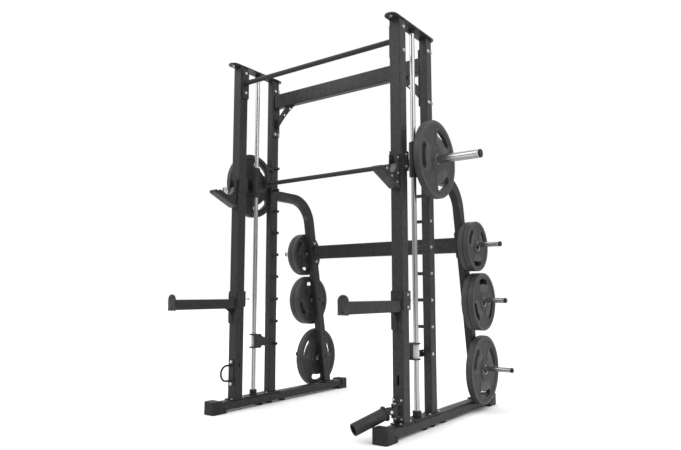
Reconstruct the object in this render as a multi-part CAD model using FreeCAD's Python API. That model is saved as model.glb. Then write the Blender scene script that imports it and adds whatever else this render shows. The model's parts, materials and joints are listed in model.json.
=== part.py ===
import FreeCAD, Part
import math
import os

from FreeCAD import Rotation, Vector

os.makedirs("parts", exist_ok=True)

# ---- Driving dimensions (mm). +X right as seen from the front, +Y to the rear, +Z up. ----
SIDES = {"left": -1, "right": 1}
SIDE_X = 636.0
TOP_Z = 2342.0
FRONT_Y = -876.0
REAR_Y = 876.0
CUT = 5.0

UPRIGHT_Y = -336.0
UPRIGHT_W = 70.0
REAR_UPRIGHT_Y = -2.0
REAR_UPRIGHT_W = 50.0
REAR_UPRIGHT_D = 70.0
TUBE_WALL = 3.0
TUBE_CORNER = 6.0

RAIL_W = 80.0
RAIL_Z = (14.0, 70.0)
RAIL_CORNER = 15.0
RAIL_INSET = 26.0
FOOT_W = 94.0
FRONT_FOOT_Y = -566.0
FRONT_FOOT_TOP = 82.0
REAR_FOOT_TOP = 78.0
FOOT_BLOCK = 74.0
FOOT_LIP = 44.0
FOOT_LIP_TOP = 30.0
PAD_SIZE = (50.0, 30.0)
PAD_Y = (-110.0, -15.0, 120.0)
FOOT_PLATE_TOP = 76.0
TOP_PLATE_T = 8.0
TOP_PLATE_Y = (-441.0, 64.0)
TOP_BOLT_Y = (-407.0, 49.0)

ROD_Y = -168.0
ROD_R = 15.0
BUFFER_R = 25.0
BUFFER_TOP = 112.0
SOCKET_R = 21.0
SOCKET_H = 22.0
RUN_FIT = 0.05
LOOSE_FIT = 0.3

PULL_UP_R = 16.0
PULL_UP_Y = -330.0
PULL_UP_Z = 2220.0
FLANGE_T = 8.0
FLANGE_W = 60.0
PULL_FLANGE_Z = (2107.0, 2310.0)
PULL_BOLT_Z = (2290.0, 2150.0)

BEAM_D = 50.0
TOP_BEAM_Z = (2117.0, 2218.0)
BEAM_FLANGE_Z = (1905.0, 2269.0)
BEAM_BOLT_Z = (2250.0, 1925.0)
BEAM_BOLT_Y = (-16.0, 22.0)
GUSSET_T = 6.0
GUSSET_HOLE_R = 8.0
GUSSET_HOLES = ((471.0, 2097.0), (524.0, 2060.0))
LOW_BEAM_Z = (1030.0, 1131.0)
LOW_BEAM_Y = 468.0

ARM_Z = 1476.0
ARM_LEAN = 10.0
ARM_BEND_R = 200.0
ARM_KNEE_Y = 396.4
ARM_PLATE_HALF = 66.0
ARM_HOLE_R = 8.0

PIN_R = 16.0
PIN_END_X = 909.0
PIN_CAP_L = 16.0
PIN_COLLAR_R = 30.0
PIN_COLLAR_X = 679.0
PIN_HEIGHTS = (1077.0, 718.0, 272.0)
BORE_R = 25.4
STACKS = {
    "upper": {"pin": 0, "radius": 162.0, "plates": (36.0, 36.0), "grips": (150, 30, -90)},
    "middle": {"pin": 1, "radius": 187.0, "plates": (40.0, 40.0), "grips": (90, -30, -150)},
    "lower": {"pin": 2, "radius": 223.0, "plates": (44.0,), "grips": (150, 30, -90)},
}
PLATE_GAP = 0.5
GRIP_HALF_DEG = 20.0

PEG_Z = 412.0
PEG_PITCH = 156.25
PEG_COUNT = 9
PEG_R = 10.0
PEG_Y = -16.0
PEG_IN_X = 560.0
BOLT_R = 9.0
BOLT_H = 6.0

BAR_Y = -104.4
BAR_Z = 1539.5
BAR_R = 15.0
BAR_END_X = 1031.0
BAR_CAP_L = 12.0
SLEEVE_R = 25.0
SLEEVE_X = 725.0
SLEEVE_RELIEF_X = 765.0
SLEEVE_RELIEF_R = 24.4
SLEEVE_COLLAR_X = 705.0
SLEEVE_COLLAR_R = 45.0
BAR_PLATE_R = 230.0
BAR_PLATE_T = 38.0
BAR_GRIPS = (180, 60, -60)
CARRIAGE_Z = (1437.0, 1648.0)
CARRIAGE_R = 26.0
BEARING_R = 22.0
BEARING_L = 60.0
HOUSING_R = 36.0
HOUSING_W = 44.0
HOOK_X = (580.0, 594.0)
HOOK_HUB_R = 25.0
HOOK_REACH = 94.6
HOOK_SLOT_R = 13.0
HOOK_REST_DEG = 80.0

STOP_Z = (391.0, 485.0)
STOP_LIP_T = 7.0
STOP_WEB_X = (591.0, 599.0)
STOP_SLOT_R = 11.0
STOP_BUSH_R = 18.0

CUP_Z = (1342.0, 1540.0)
CUP_PLATE_W = 72.0
SPOT_Z = (663.0, 725.0)
SPOT_W = 60.0
SPOT_PLATE_Z = (565.0, 769.0)
LOCK_PIN_R = 4.0
LOCK_PIN_Z = 725.0
LOCK_PIN_L = 78.0
WRAP_T = 6.0

RING_Z = 242.5
RING_R = 49.5
RING_ROD_R = 6.5
RING_REACH = 95.0

MINE_Z = 147.0
MINE_Y = -411.0
MINE_YAW = 27.0
MINE_PITCH = 19.0
MINE_PIN_AHEAD = 32.0
MINE_TUBE_R = 33.0
MINE_TUBE_L = 192.0
MINE_LUG_GAP = 29.0

WRITTEN = []


# ---- Helpers ----
def save(node, *shapes):
    """Write one sub-part, as a group when it has several solids."""
    shape = shapes[0] if len(shapes) == 1 else Part.makeCompound(list(shapes))
    shape.exportStep(os.path.join("parts", node + ".step"))
    WRITTEN.append(node)


def box(x, y, z):
    """Box from three (low, high) pairs."""
    return Part.makeBox(x[1] - x[0], y[1] - y[0], z[1] - z[0], Vector(x[0], y[0], z[0]))


def span(centre, width):
    """The (low, high) pair of a width about a centre."""
    return (centre - width / 2, centre + width / 2)


def rod(start, end, radius):
    """Cylinder between two points."""
    axis = Vector(*end) - Vector(*start)
    return Part.makeCylinder(radius, axis.Length, Vector(*start), axis)


def ring(start, end, outer, inner):
    """Hollow cylinder between two points."""
    return rod(start, end, outer).cut(rod(start, end, inner))


def to_side(shape, side):
    """Mirror a shape drawn on the right to the side asked for."""
    return shape if side > 0 else shape.mirror(Vector(0, 0, 0), Vector(1, 0, 0))


def both(shape):
    """A right-hand shape and its mirror image."""
    return [shape, to_side(shape, -1)]


def edges_along(shape, axis, keep=lambda middle: True):
    """Straight edges of a shape that run along an axis and pass a test on their middle."""
    found = []
    for edge in shape.Edges:
        if edge.Curve.TypeId != "Part::GeomLine":
            continue
        aligned = abs(edge.tangentAt(edge.FirstParameter).dot(axis)) > 0.999
        if aligned and keep(edge.CenterOfMass):
            found.append(edge)
    return found


def bar_stock(x, y, z, corner, axis):
    """Solid rectangular bar with its long corners rounded."""
    solid = box(x, y, z)
    return solid.makeFillet(corner, edges_along(solid, axis))


def box_tube(x, y, z, corner, axis):
    """Rectangular hollow tube, open along its axis."""
    outer = bar_stock(x, y, z, corner, axis)
    spans = []
    for index, pair in enumerate((x, y, z)):
        grow = CUT if abs(axis[index]) > 0.5 else -TUBE_WALL
        spans.append((pair[0] - grow, pair[1] + grow))
    inner = bar_stock(*spans, corner - TUBE_WALL, axis)
    return outer.cut(inner)


def profile(points, plane, low, high):
    """Prism of an outline given in two axes. A point triple means an arc through its first two."""
    def place(pair):
        return Vector(low, *pair) if plane == "YZ" else Vector(pair[0], low, pair[1])

    edges = []
    here = place(points[0])
    for step in list(points[1:]) + [points[0]]:
        if len(step) == 4:
            end = place(step[2:])
            edges.append(Part.Arc(here, place(step[:2]), end).toShape())
        else:
            end = place(step)
            edges.append(Part.makeLine(here, end))
        here = end
    face = Part.Face(Part.Wire(edges))
    direction = Vector(high - low, 0, 0) if plane == "YZ" else Vector(0, high - low, 0)
    return face.extrude(direction)


def plan(points, low, high):
    """Prism of an outline in plan. A four-number point means an arc through its first two."""
    edges = []
    here = Vector(*points[0], low)
    for step in list(points[1:]) + [points[0]]:
        if len(step) == 4:
            end = Vector(*step[2:], low)
            edges.append(Part.Arc(here, Vector(*step[:2], low), end).toShape())
        else:
            end = Vector(*step, low)
            edges.append(Part.makeLine(here, end))
        here = end
    return Part.Face(Part.Wire(edges)).extrude(Vector(0, 0, high - low))


def fuse(shapes):
    """Join shapes into one clean solid."""
    return shapes[0].multiFuse(shapes[1:]).removeSplitter()


def hex_head(point, axis, radius=BOLT_R, height=BOLT_H):
    """Hexagon bolt head standing on a face."""
    corners = []
    for index in range(7):
        angle = math.radians(60 * index)
        corners.append(Vector(radius * math.cos(angle), radius * math.sin(angle), 0))
    head = Part.Face(Part.makePolygon(corners)).extrude(Vector(0, 0, height))
    crown = Part.makeSphere(radius * 1.25, Vector(0, 0, height - radius * 0.88))
    head = head.common(crown)
    head.Placement = FreeCAD.Placement(Vector(*point), Rotation(Vector(0, 0, 1), Vector(*axis)))
    return head


# ---- Base ----
def base_rail():
    """Rounded rectangular floor tube."""
    return box_tube(
        span(SIDE_X, RAIL_W), (FRONT_FOOT_Y + RAIL_INSET, REAR_Y - RAIL_INSET), RAIL_Z,
        RAIL_CORNER, Vector(0, 1, 0),
    )


def rail_envelope():
    """The outside of the rail, for the pocket in a foot."""
    ends = (FRONT_FOOT_Y + RAIL_INSET, REAR_Y - RAIL_INSET)
    return bar_stock(span(SIDE_X, RAIL_W), ends, RAIL_Z, RAIL_CORNER, Vector(0, 1, 0))


def foot(end_y, direction, top):
    """Moulded foot that caps a rail end, with a low lip along the rail."""
    block_y = sorted((end_y, end_y + direction * FOOT_BLOCK))
    lip_y = sorted((end_y, end_y + direction * (FOOT_BLOCK + FOOT_LIP)))
    block = fuse([
        box(span(SIDE_X, FOOT_W), block_y, (0, top)),
        box(span(SIDE_X, FOOT_W), lip_y, (0, FOOT_LIP_TOP)),
    ])
    at_end = edges_along(block, Vector(0, 0, 1), lambda m: abs(m.y - end_y) < 1)
    block = block.makeFillet(16.0, at_end)
    far = end_y + direction * (FOOT_BLOCK + FOOT_LIP)
    at_far = edges_along(block, Vector(0, 0, 1), lambda m: abs(m.y - far) < 1)
    block = block.makeFillet(10.0, at_far)
    top_edges = [edge for edge in block.Edges if edge.BoundBox.ZMin > top - 1]
    block = block.makeFillet(5.0, top_edges)
    return block.cut(rail_envelope())


def rail_pads():
    """Small pads under the rail."""
    low = []
    for y in PAD_Y:
        low.append(box(span(SIDE_X, PAD_SIZE[0]), span(y, PAD_SIZE[1]), (0, RAIL_Z[0])))
    return low


def foot_plate(y, half):
    """Plate welded on the rail under an upright or an arm."""
    plate = box(span(SIDE_X, RAIL_W), (y - half, y + half), (RAIL_Z[1], FOOT_PLATE_TOP))
    return plate.makeFillet(10.0, edges_along(plate, Vector(0, 0, 1)))


def foot_plates():
    """Plates under the front post, under the rear post and rod, and under the arm."""
    return [
        foot_plate(UPRIGHT_Y, 62), foot_plate(-93, 165),
        foot_plate(arm_centre_y(FOOT_PLATE_TOP), ARM_PLATE_HALF),
    ]


# ---- Uprights and top ----
def front_upright(side):
    """Square front post with its adjustment slots."""
    depth = span(UPRIGHT_Y, UPRIGHT_W)
    post = box_tube(
        span(SIDE_X, UPRIGHT_W), depth, (FOOT_PLATE_TOP, TOP_Z - TOP_PLATE_T),
        TUBE_CORNER, Vector(0, 0, 1),
    )
    if side > 0:
        cutter = box(span(SIDE_X, 12), (depth[0] - CUT, UPRIGHT_Y), (274, 326))
    else:
        cutter = box(span(SIDE_X, UPRIGHT_W + 2 * CUT), span(UPRIGHT_Y, 12), (279, 308))
    hole = rod((SIDE_X, UPRIGHT_Y, LOCK_PIN_Z), (SIDE_X, UPRIGHT_Y + UPRIGHT_W, LOCK_PIN_Z),
               LOCK_PIN_R + LOOSE_FIT)
    return to_side(post.cut(cutter).cut(hole), side)


def rear_upright():
    """Rear post."""
    return box_tube(
        span(SIDE_X, REAR_UPRIGHT_W), span(REAR_UPRIGHT_Y, REAR_UPRIGHT_D),
        (FOOT_PLATE_TOP, TOP_Z - TOP_PLATE_T), TUBE_CORNER, Vector(0, 0, 1),
    )


def top_plate():
    """Long plate with round ends over both posts."""
    half = RAIL_W / 2
    low, high = TOP_PLATE_Y
    left, right = SIDE_X - half, SIDE_X + half
    outline = [
        (left, low + half), (SIDE_X, low, right, low + half),
        (right, high - half), (SIDE_X, high, left, high - half),
    ]
    return plan(outline, TOP_Z - TOP_PLATE_T, TOP_Z)


def guide_rod():
    """Chromed guide rod."""
    return rod((SIDE_X, ROD_Y, FOOT_PLATE_TOP), (SIDE_X, ROD_Y, TOP_Z - TOP_PLATE_T), ROD_R)


def rod_buffer():
    """Rubber buffer round the foot of a guide rod."""
    low = (SIDE_X, ROD_Y, FOOT_PLATE_TOP)
    high = (SIDE_X, ROD_Y, BUFFER_TOP)
    body = rod(low, high, BUFFER_R)
    top = [edge for edge in body.Edges if edge.BoundBox.ZMin > BUFFER_TOP - 1]
    return body.makeFillet(4.0, top).cut(rod(low, high, ROD_R + RUN_FIT))


def rod_socket():
    """Collar under the top plate that holds the rod."""
    high = TOP_Z - TOP_PLATE_T
    return ring((SIDE_X, ROD_Y, high - SOCKET_H), (SIDE_X, ROD_Y, high), SOCKET_R, ROD_R + RUN_FIT)


def pull_up_bar():
    """Round bar between the flanges of the front posts."""
    half = SIDE_X - UPRIGHT_W / 2 - FLANGE_T
    return rod((-half, PULL_UP_Y, PULL_UP_Z), (half, PULL_UP_Y, PULL_UP_Z), PULL_UP_R)


def pull_up_flange():
    """Bolted plate at the end of the pull-up bar."""
    inner = SIDE_X - UPRIGHT_W / 2
    plate = box((inner - FLANGE_T, inner), span(PULL_UP_Y, FLANGE_W), PULL_FLANGE_Z)
    return plate.makeFillet(12.0, edges_along(plate, Vector(1, 0, 0)))


def beam_flange():
    """Tall bolted plate at the end of the rear top beam."""
    inner = SIDE_X - REAR_UPRIGHT_W / 2
    plate = box((inner - FLANGE_T, inner), span(REAR_UPRIGHT_Y, REAR_UPRIGHT_D), BEAM_FLANGE_Z)
    return plate.makeFillet(12.0, edges_along(plate, Vector(1, 0, 0)))


def corner_gusset():
    """Curved band brace between the beam and its flange."""
    wall = SIDE_X - REAR_UPRIGHT_W / 2 - FLANGE_T
    under = TOP_BEAM_Z[0]
    outline = [
        (423, under), (524, 2039, wall, 1945), (wall, 2032), (512, under),
    ]
    low, high = span(REAR_UPRIGHT_Y, GUSSET_T)
    band = profile(outline, "XZ", low, high)
    for x, z in GUSSET_HOLES:
        band = band.cut(rod((x, low - CUT, z), (x, high + CUT, z), GUSSET_HOLE_R))
    return band


def cross_beam(half, y, z):
    """Rectangular beam across the rack."""
    return box_tube((-half, half), span(y, BEAM_D), z, TUBE_CORNER, Vector(1, 0, 0))


def upright_bolts():
    """Bolt heads and nuts of the upper flanges."""
    heads = []
    outer = SIDE_X + UPRIGHT_W / 2
    inner = SIDE_X - UPRIGHT_W / 2 - FLANGE_T
    for z in PULL_BOLT_Z:
        heads.append(hex_head((outer, PULL_UP_Y, z), (1, 0, 0)))
        heads.append(hex_head((inner, PULL_UP_Y, z), (-1, 0, 0)))
    outer = SIDE_X + REAR_UPRIGHT_W / 2
    inner = SIDE_X - REAR_UPRIGHT_W / 2 - FLANGE_T
    for z in BEAM_BOLT_Z:
        for y in BEAM_BOLT_Y:
            heads.append(hex_head((outer, y, z), (1, 0, 0), 10.0, 8.0))
            heads.append(hex_head((inner, y, z), (-1, 0, 0)))
    for y in TOP_BOLT_Y:
        heads.append(hex_head((SIDE_X, y, TOP_Z - TOP_PLATE_T), (0, 0, -1)))
    return heads


def base_bolts():
    """Bolt heads on the plates of the floor rail."""
    heads = []
    for y in (UPRIGHT_Y - 50, UPRIGHT_Y + 50, -58, 54):
        for x in span(SIDE_X, 44):
            heads.append(hex_head((x, y, FOOT_PLATE_TOP), (0, 0, 1), 7.0, 5.0))
    foot_y = arm_centre_y(FOOT_PLATE_TOP)
    for y in (foot_y - 52, foot_y + 52):
        heads.append(hex_head((SIDE_X, y, FOOT_PLATE_TOP), (0, 0, 1), 7.0, 5.0))
    return heads


# ---- Storage ----
def arm_centre_y(z):
    """Y of the storage arm's centre line on its leaning leg."""
    return ARM_KNEE_Y + (ARM_Z - z) * math.tan(math.radians(ARM_LEAN))


def storage_arm():
    """Bent tube from the rear post down to the floor rail."""
    start_y = REAR_UPRIGHT_Y + REAR_UPRIGHT_D / 2
    lean = math.radians(ARM_LEAN)
    tangent = ARM_BEND_R * math.tan((math.pi / 2 - lean) / 2)
    centre = Vector(SIDE_X, ARM_KNEE_Y - tangent, ARM_Z - ARM_BEND_R)
    middle = (math.pi / 2 + lean) / 2
    arc_mid = centre + Vector(0, ARM_BEND_R * math.cos(middle), ARM_BEND_R * math.sin(middle))
    arc_end = centre + Vector(0, ARM_BEND_R * math.cos(lean), ARM_BEND_R * math.sin(lean))
    bottom = RAIL_Z[0]
    path = Part.Wire([
        Part.makeLine(Vector(SIDE_X, start_y, ARM_Z), Vector(SIDE_X, centre.y, ARM_Z)),
        Part.Arc(Vector(SIDE_X, centre.y, ARM_Z), arc_mid, arc_end).toShape(),
        Part.makeLine(arc_end, Vector(SIDE_X, arm_centre_y(bottom), bottom)),
    ])
    skins = []
    for inset in (0, TUBE_WALL):
        block = bar_stock(
            span(SIDE_X, REAR_UPRIGHT_W - 2 * inset), (start_y, start_y + CUT),
            span(ARM_Z, REAR_UPRIGHT_D - 2 * inset), TUBE_CORNER - inset, Vector(0, 1, 0),
        )
        end = min(block.Faces, key=lambda face: face.CenterOfMass.y)
        skins.append(path.makePipeShell([end.OuterWire], True, False))
    keep = box(span(SIDE_X, 200), (0, REAR_Y), (FOOT_PLATE_TOP, TOP_Z))
    arm = skins[0].cut(skins[1]).common(keep)
    inner = SIDE_X - REAR_UPRIGHT_W / 2
    for z in PIN_HEIGHTS[1:]:
        y = arm_centre_y(z)
        arm = arm.cut(rod((inner - CUT, y, z), (inner + CUT, y, z), ARM_HOLE_R))
    return arm


def arm_end_plate():
    """Slanted plate between the lower beam and the arm."""
    inner = SIDE_X - REAR_UPRIGHT_W / 2
    low, high = LOW_BEAM_Z[0] - 34, LOW_BEAM_Z[1] + 34
    outline = []
    for z, half in ((low, -32), (low, 32), (high, 32), (high, -32)):
        outline.append((arm_centre_y(z) + half, z))
    plate = profile(outline, "YZ", inner - FLANGE_T, inner)
    return plate.makeFillet(10.0, edges_along(plate, Vector(1, 0, 0)))


def storage_pin(z):
    """Plated storage pin with its stop collar."""
    y = arm_centre_y(z)
    outer = SIDE_X + REAR_UPRIGHT_W / 2
    collar = rod((outer, y, z), (PIN_COLLAR_X, y, z), PIN_COLLAR_R)
    rim = [edge for edge in collar.Edges if edge.BoundBox.XMin > PIN_COLLAR_X - 1]
    shaft = rod((outer, y, z), (PIN_END_X - PIN_CAP_L, y, z), PIN_R)
    return fuse([collar.makeFillet(3.0, rim), shaft])


def end_cap(start, end, radius):
    """Round cap with a softened rim."""
    body = rod(start, end, radius)
    rim = [edge for edge in body.Edges if edge.BoundBox.XMin > end[0] - 1]
    return body.makeFillet(3.0, rim)


def pin_cap(z):
    """Plastic cap of a storage pin."""
    y = arm_centre_y(z)
    return end_cap((PIN_END_X - PIN_CAP_L, y, z), (PIN_END_X, y, z), PIN_R)


def arm_bolts():
    """Bolt heads that hold the lower beam."""
    heads = []
    inner = SIDE_X - REAR_UPRIGHT_W / 2
    for z in (LOW_BEAM_Z[0] - 18, LOW_BEAM_Z[1] + 18):
        heads.append(hex_head((inner - FLANGE_T, arm_centre_y(z), z), (-1, 0, 0)))
    return heads


# ---- Weight plates ----
def weight_plate(radius, thickness, grips):
    """Three-grip plate about the origin, with its inner face at x = 0."""
    rim = 0.13 * radius
    recess = 0.16 * thickness
    hub = 0.30 * radius
    section = [
        (0, BORE_R), (0, hub), (recess, hub + recess), (recess, radius - rim - recess),
        (0, radius - rim), (0, radius - 4), (4, radius), (thickness - 4, radius),
        (thickness, radius - 4), (thickness, radius - rim),
        (thickness - recess, radius - rim - recess), (thickness - recess, hub + recess),
        (thickness, hub), (thickness, BORE_R),
    ]
    corners = [Vector(x, r, 0) for x, r in section]
    wire = Part.makePolygon(corners + [corners[0]])
    disc = Part.Face(wire).revolve(Vector(0, 0, 0), Vector(1, 0, 0), 360)
    disc = Part.Solid(disc) if disc.ShapeType != "Solid" else disc
    low, high = 0.62 * radius, 0.80 * radius
    for angle in grips:
        disc = disc.cut(grip_cutter(low, high, angle, thickness))
    return disc


def grip_cutter(low, high, angle, thickness):
    """Arc-shaped slot with round ends, cut through a plate."""
    half = GRIP_HALF_DEG

    def at(radius, degrees):
        turn = math.radians(degrees)
        return (radius * math.cos(turn), radius * math.sin(turn))

    middle = (low + high) / 2
    cap = math.degrees((high - low) / 2 / middle)
    outline = [
        at(low, angle - half), (*at(low, angle), *at(low, angle + half)),
        (*at(middle, angle + half + cap), *at(high, angle + half)),
        (*at(high, angle), *at(high, angle - half)),
        (*at(middle, angle - half - cap), *at(low, angle - half)),
    ]
    edges = []
    here = Vector(-CUT, *outline[0])
    for step in outline[1:]:
        end = Vector(-CUT, *step[2:])
        edges.append(Part.Arc(here, Vector(-CUT, *step[:2]), end).toShape())
        here = end
    return Part.Face(Part.Wire(edges)).extrude(Vector(thickness + 2 * CUT, 0, 0))


def bar_weight():
    """Plate on the bar sleeve."""
    plate = weight_plate(BAR_PLATE_R, BAR_PLATE_T, BAR_GRIPS)
    plate.translate(Vector(SLEEVE_X, BAR_Y, BAR_Z))
    return plate


def stack_plates(stack):
    """Plates hanging on one storage pin."""
    z = PIN_HEIGHTS[stack["pin"]]
    drop = BORE_R - PIN_R - LOOSE_FIT
    x = PIN_COLLAR_X + PLATE_GAP
    plates = []
    for thickness in stack["plates"]:
        plate = weight_plate(stack["radius"], thickness, stack["grips"])
        plate.translate(Vector(x, arm_centre_y(z), z - drop))
        plates.append(plate)
        x += thickness + PLATE_GAP
    return plates


# ---- Lockout pegs, carriage and bar ----
def peg_heights():
    """Heights of the lockout pegs."""
    return [PEG_Z + PEG_PITCH * index for index in range(PEG_COUNT)]


def lockout_peg(z):
    """Peg welded on the inner face of a rear post."""
    inner = SIDE_X - REAR_UPRIGHT_W / 2
    body = rod((inner, PEG_Y, z), (PEG_IN_X, PEG_Y, z), PEG_R)
    return body.makeChamfer(2.0, [e for e in body.Edges if e.BoundBox.XMax < PEG_IN_X + 1])


def peg_bolt(z):
    """Bolt head of a peg on the outer face of its post."""
    return hex_head((SIDE_X + REAR_UPRIGHT_W / 2, PEG_Y, z), (1, 0, 0), 8.0, 5.0)


def carriage_tube():
    """Sliding tube with necked ends round the guide rod."""
    low, high = CARRIAGE_Z
    tube = rod((SIDE_X, ROD_Y, low), (SIDE_X, ROD_Y, high), CARRIAGE_R)
    ends = [edge for edge in tube.Edges if edge.Curve.TypeId == "Part::GeomCircle"]
    tube = tube.makeFillet(6.0, ends)
    bore = rod((SIDE_X, ROD_Y, low + 5), (SIDE_X, ROD_Y, high - 5), BEARING_R)
    mouth = rod((SIDE_X, ROD_Y, low - CUT), (SIDE_X, ROD_Y, high + CUT), ROD_R + 1.5)
    return tube.cut(bore).cut(mouth)


def linear_bearings():
    """Bearing sleeves at both ends of the carriage tube."""
    low, high = CARRIAGE_Z[0] + 5, CARRIAGE_Z[1] - 5
    pairs = ((low, low + BEARING_L), (high - BEARING_L, high))
    return [ring((SIDE_X, ROD_Y, a), (SIDE_X, ROD_Y, b), BEARING_R, ROD_R + RUN_FIT)
            for a, b in pairs]


def bar_housing():
    """Bearing housing behind the carriage tube that carries the bar."""
    x = span(SIDE_X, HOUSING_W)
    ring_body = rod((x[0], BAR_Y, BAR_Z), (x[1], BAR_Y, BAR_Z), HOUSING_R)
    web = box(span(SIDE_X, HOUSING_W - 4), (ROD_Y, BAR_Y), span(BAR_Z, 120))
    web = web.makeFillet(8.0, edges_along(web, Vector(1, 0, 0), lambda m: m.y > ROD_Y + 1))
    bore = rod((x[0] - CUT, BAR_Y, BAR_Z), (x[1] + CUT, BAR_Y, BAR_Z), BAR_R + RUN_FIT)
    tube = rod((SIDE_X, ROD_Y, CARRIAGE_Z[0]), (SIDE_X, ROD_Y, CARRIAGE_Z[1]), CARRIAGE_R)
    return fuse([ring_body, web]).cut(tube).cut(bore)


def smith_bar():
    """Solid bar between the two sleeves."""
    return rod((-SLEEVE_COLLAR_X, BAR_Y, BAR_Z), (SLEEVE_COLLAR_X, BAR_Y, BAR_Z), BAR_R)


def bar_sleeve():
    """Plated sleeve for the weight plates, relieved next to its collar."""
    step = (SLEEVE_RELIEF_X, BAR_Y, BAR_Z)
    relief = rod((SLEEVE_X, BAR_Y, BAR_Z), step, SLEEVE_RELIEF_R)
    return fuse([relief, rod(step, (BAR_END_X - BAR_CAP_L, BAR_Y, BAR_Z), SLEEVE_R)])


def sleeve_collar():
    """Flange against which the plates rest."""
    body = rod((SLEEVE_COLLAR_X, BAR_Y, BAR_Z), (SLEEVE_X, BAR_Y, BAR_Z), SLEEVE_COLLAR_R)
    return body.makeFillet(3.0, body.Edges)


def sleeve_cap():
    """Plastic cap of a bar sleeve."""
    start = BAR_END_X - BAR_CAP_L
    return end_cap((start, BAR_Y, BAR_Z), (BAR_END_X, BAR_Y, BAR_Z), SLEEVE_RELIEF_R)


def bar_hook():
    """Hub with an arc-slotted hook that swings over a peg."""
    hub = rod((HOOK_X[0] - 12, BAR_Y, BAR_Z), (HOOK_X[1] + 18, BAR_Y, BAR_Z), HOOK_HUB_R)
    outer = HOOK_REACH + HOOK_SLOT_R + 15
    inner = HOOK_REACH - HOOK_SLOT_R

    def at(radius, degrees):
        turn = math.radians(HOOK_REST_DEG + degrees)
        return (BAR_Y + radius * math.cos(turn), BAR_Z + radius * math.sin(turn))

    mouth = -24.0
    back = 22.0
    close = math.degrees(HOOK_SLOT_R / HOOK_REACH)
    outline = [
        at(HOOK_HUB_R - 6, -60), at(inner, mouth + 10), (*at(inner, -2), *at(inner, 0)),
        (*at(HOOK_REACH, close), *at(inner + 2 * HOOK_SLOT_R, 0)),
        (*at(outer - 15, mouth / 2), *at(outer - 15, mouth)),
        (*at(outer - 7, mouth - 3), *at(outer, mouth)),
        (*at(outer, 0), *at(outer, back - 6)), at(HOOK_REACH, back),
        at(HOOK_HUB_R - 6, 60),
    ]
    claw = profile(outline, "YZ", *HOOK_X)
    bore = rod((0, BAR_Y, BAR_Z), (SIDE_X, BAR_Y, BAR_Z), BAR_R + RUN_FIT)
    return fuse([hub, claw]).cut(bore)


# ---- Safety stops ----
def safety_stop():
    """Swinging stop: lips round the rod and a slotted web that drops on a peg."""
    low, high = STOP_Z
    front, back = ROD_Y - 38, ROD_Y + 32
    web = profile([
        (front, low), (back - 8, low), (back, low + 14), (PEG_Y - 60, 401), (PEG_Y - 40, 394),
        (PEG_Y + 14, 394), (PEG_Y + 14, 434), (PEG_Y - 40, 434), (PEG_Y - 60, 450),
        (back, high - 14), (back - 8, high), (front, high),
    ], "YZ", *STOP_WEB_X)
    slot_z = span(PEG_Z, 2 * STOP_SLOT_R)
    slot = box((STOP_WEB_X[0] - CUT, STOP_WEB_X[1] + CUT), (PEG_Y, PEG_Y + 60), slot_z)
    slot_end = rod((STOP_WEB_X[0] - CUT, PEG_Y, PEG_Z), (STOP_WEB_X[1] + CUT, PEG_Y, PEG_Z),
                   STOP_SLOT_R)
    web = web.cut(slot).cut(slot_end)
    lips = []
    for z in (low, high - STOP_LIP_T):
        lips.append(plan([
            (STOP_WEB_X[0], front), (SIDE_X, front),
            (SIDE_X + 27, ROD_Y, SIDE_X, ROD_Y + 27), (STOP_WEB_X[0], ROD_Y + 27),
        ], z, z + STOP_LIP_T))
    bore = rod((SIDE_X, ROD_Y, low - CUT), (SIDE_X, ROD_Y, high + CUT), ROD_R + LOOSE_FIT)
    return fuse([web] + lips).cut(bore)


def stop_bush():
    """Plastic bush between the lips of a stop."""
    low, high = STOP_Z[0] + STOP_LIP_T, STOP_Z[1] - STOP_LIP_T
    return ring((SIDE_X, ROD_Y, low), (SIDE_X, ROD_Y, high), STOP_BUSH_R, ROD_R + RUN_FIT)


# ---- Attachments on the front posts ----
def wrap_plates(z, front_y):
    """Clamp plates round the sides and back of a front post."""
    half = UPRIGHT_W / 2
    x = span(SIDE_X, UPRIGHT_W)
    rear = UPRIGHT_Y + half
    pieces = [
        box((x[0] - WRAP_T, x[0]), (front_y, rear + WRAP_T), z),
        box((x[1], x[1] + WRAP_T), (front_y, rear + WRAP_T), z),
        box(x, (rear, rear + WRAP_T), z),
    ]
    return fuse(pieces)


def j_cup():
    """Bent cup that holds a free bar, on a clamped back plate."""
    face = UPRIGHT_Y - UPRIGHT_W / 2
    low, high = CUP_Z
    plate = box(span(SIDE_X, CUP_PLATE_W), (face - FLANGE_T, face), (low, high))
    plate = plate.makeFillet(8.0, edges_along(plate, Vector(0, 1, 0)))
    front = face - FLANGE_T
    arm = profile([
        (front, low + 1), (front - 18, low), (front - 186, low + 74),
        (front - 194, low + 86, front - 186, low + 98), (front - 176, low + 94),
        (front - 20, low + 22), (front, low + 22),
    ], "YZ", *span(SIDE_X, 58))
    cheeks = []
    for x in (SIDE_X - 26, SIDE_X + 20):
        cheeks.append(profile([
            (front, low + 18), (front - 20, low + 20), (front - 176, low + 90),
            (front - 150, low + 102), (front - 90, low + 78),
            (front - 46, low + 88, front - 26, low + 130), (front - 22, high - 6),
            (front, high - 6),
        ], "YZ", x, x + 6))
    return fuse([plate, arm] + cheeks)


def j_cup_clamp():
    """Clamp of a J-cup round its post."""
    return wrap_plates((CUP_Z[0] + 108, CUP_Z[1] + 20), UPRIGHT_Y - UPRIGHT_W / 2)


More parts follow.
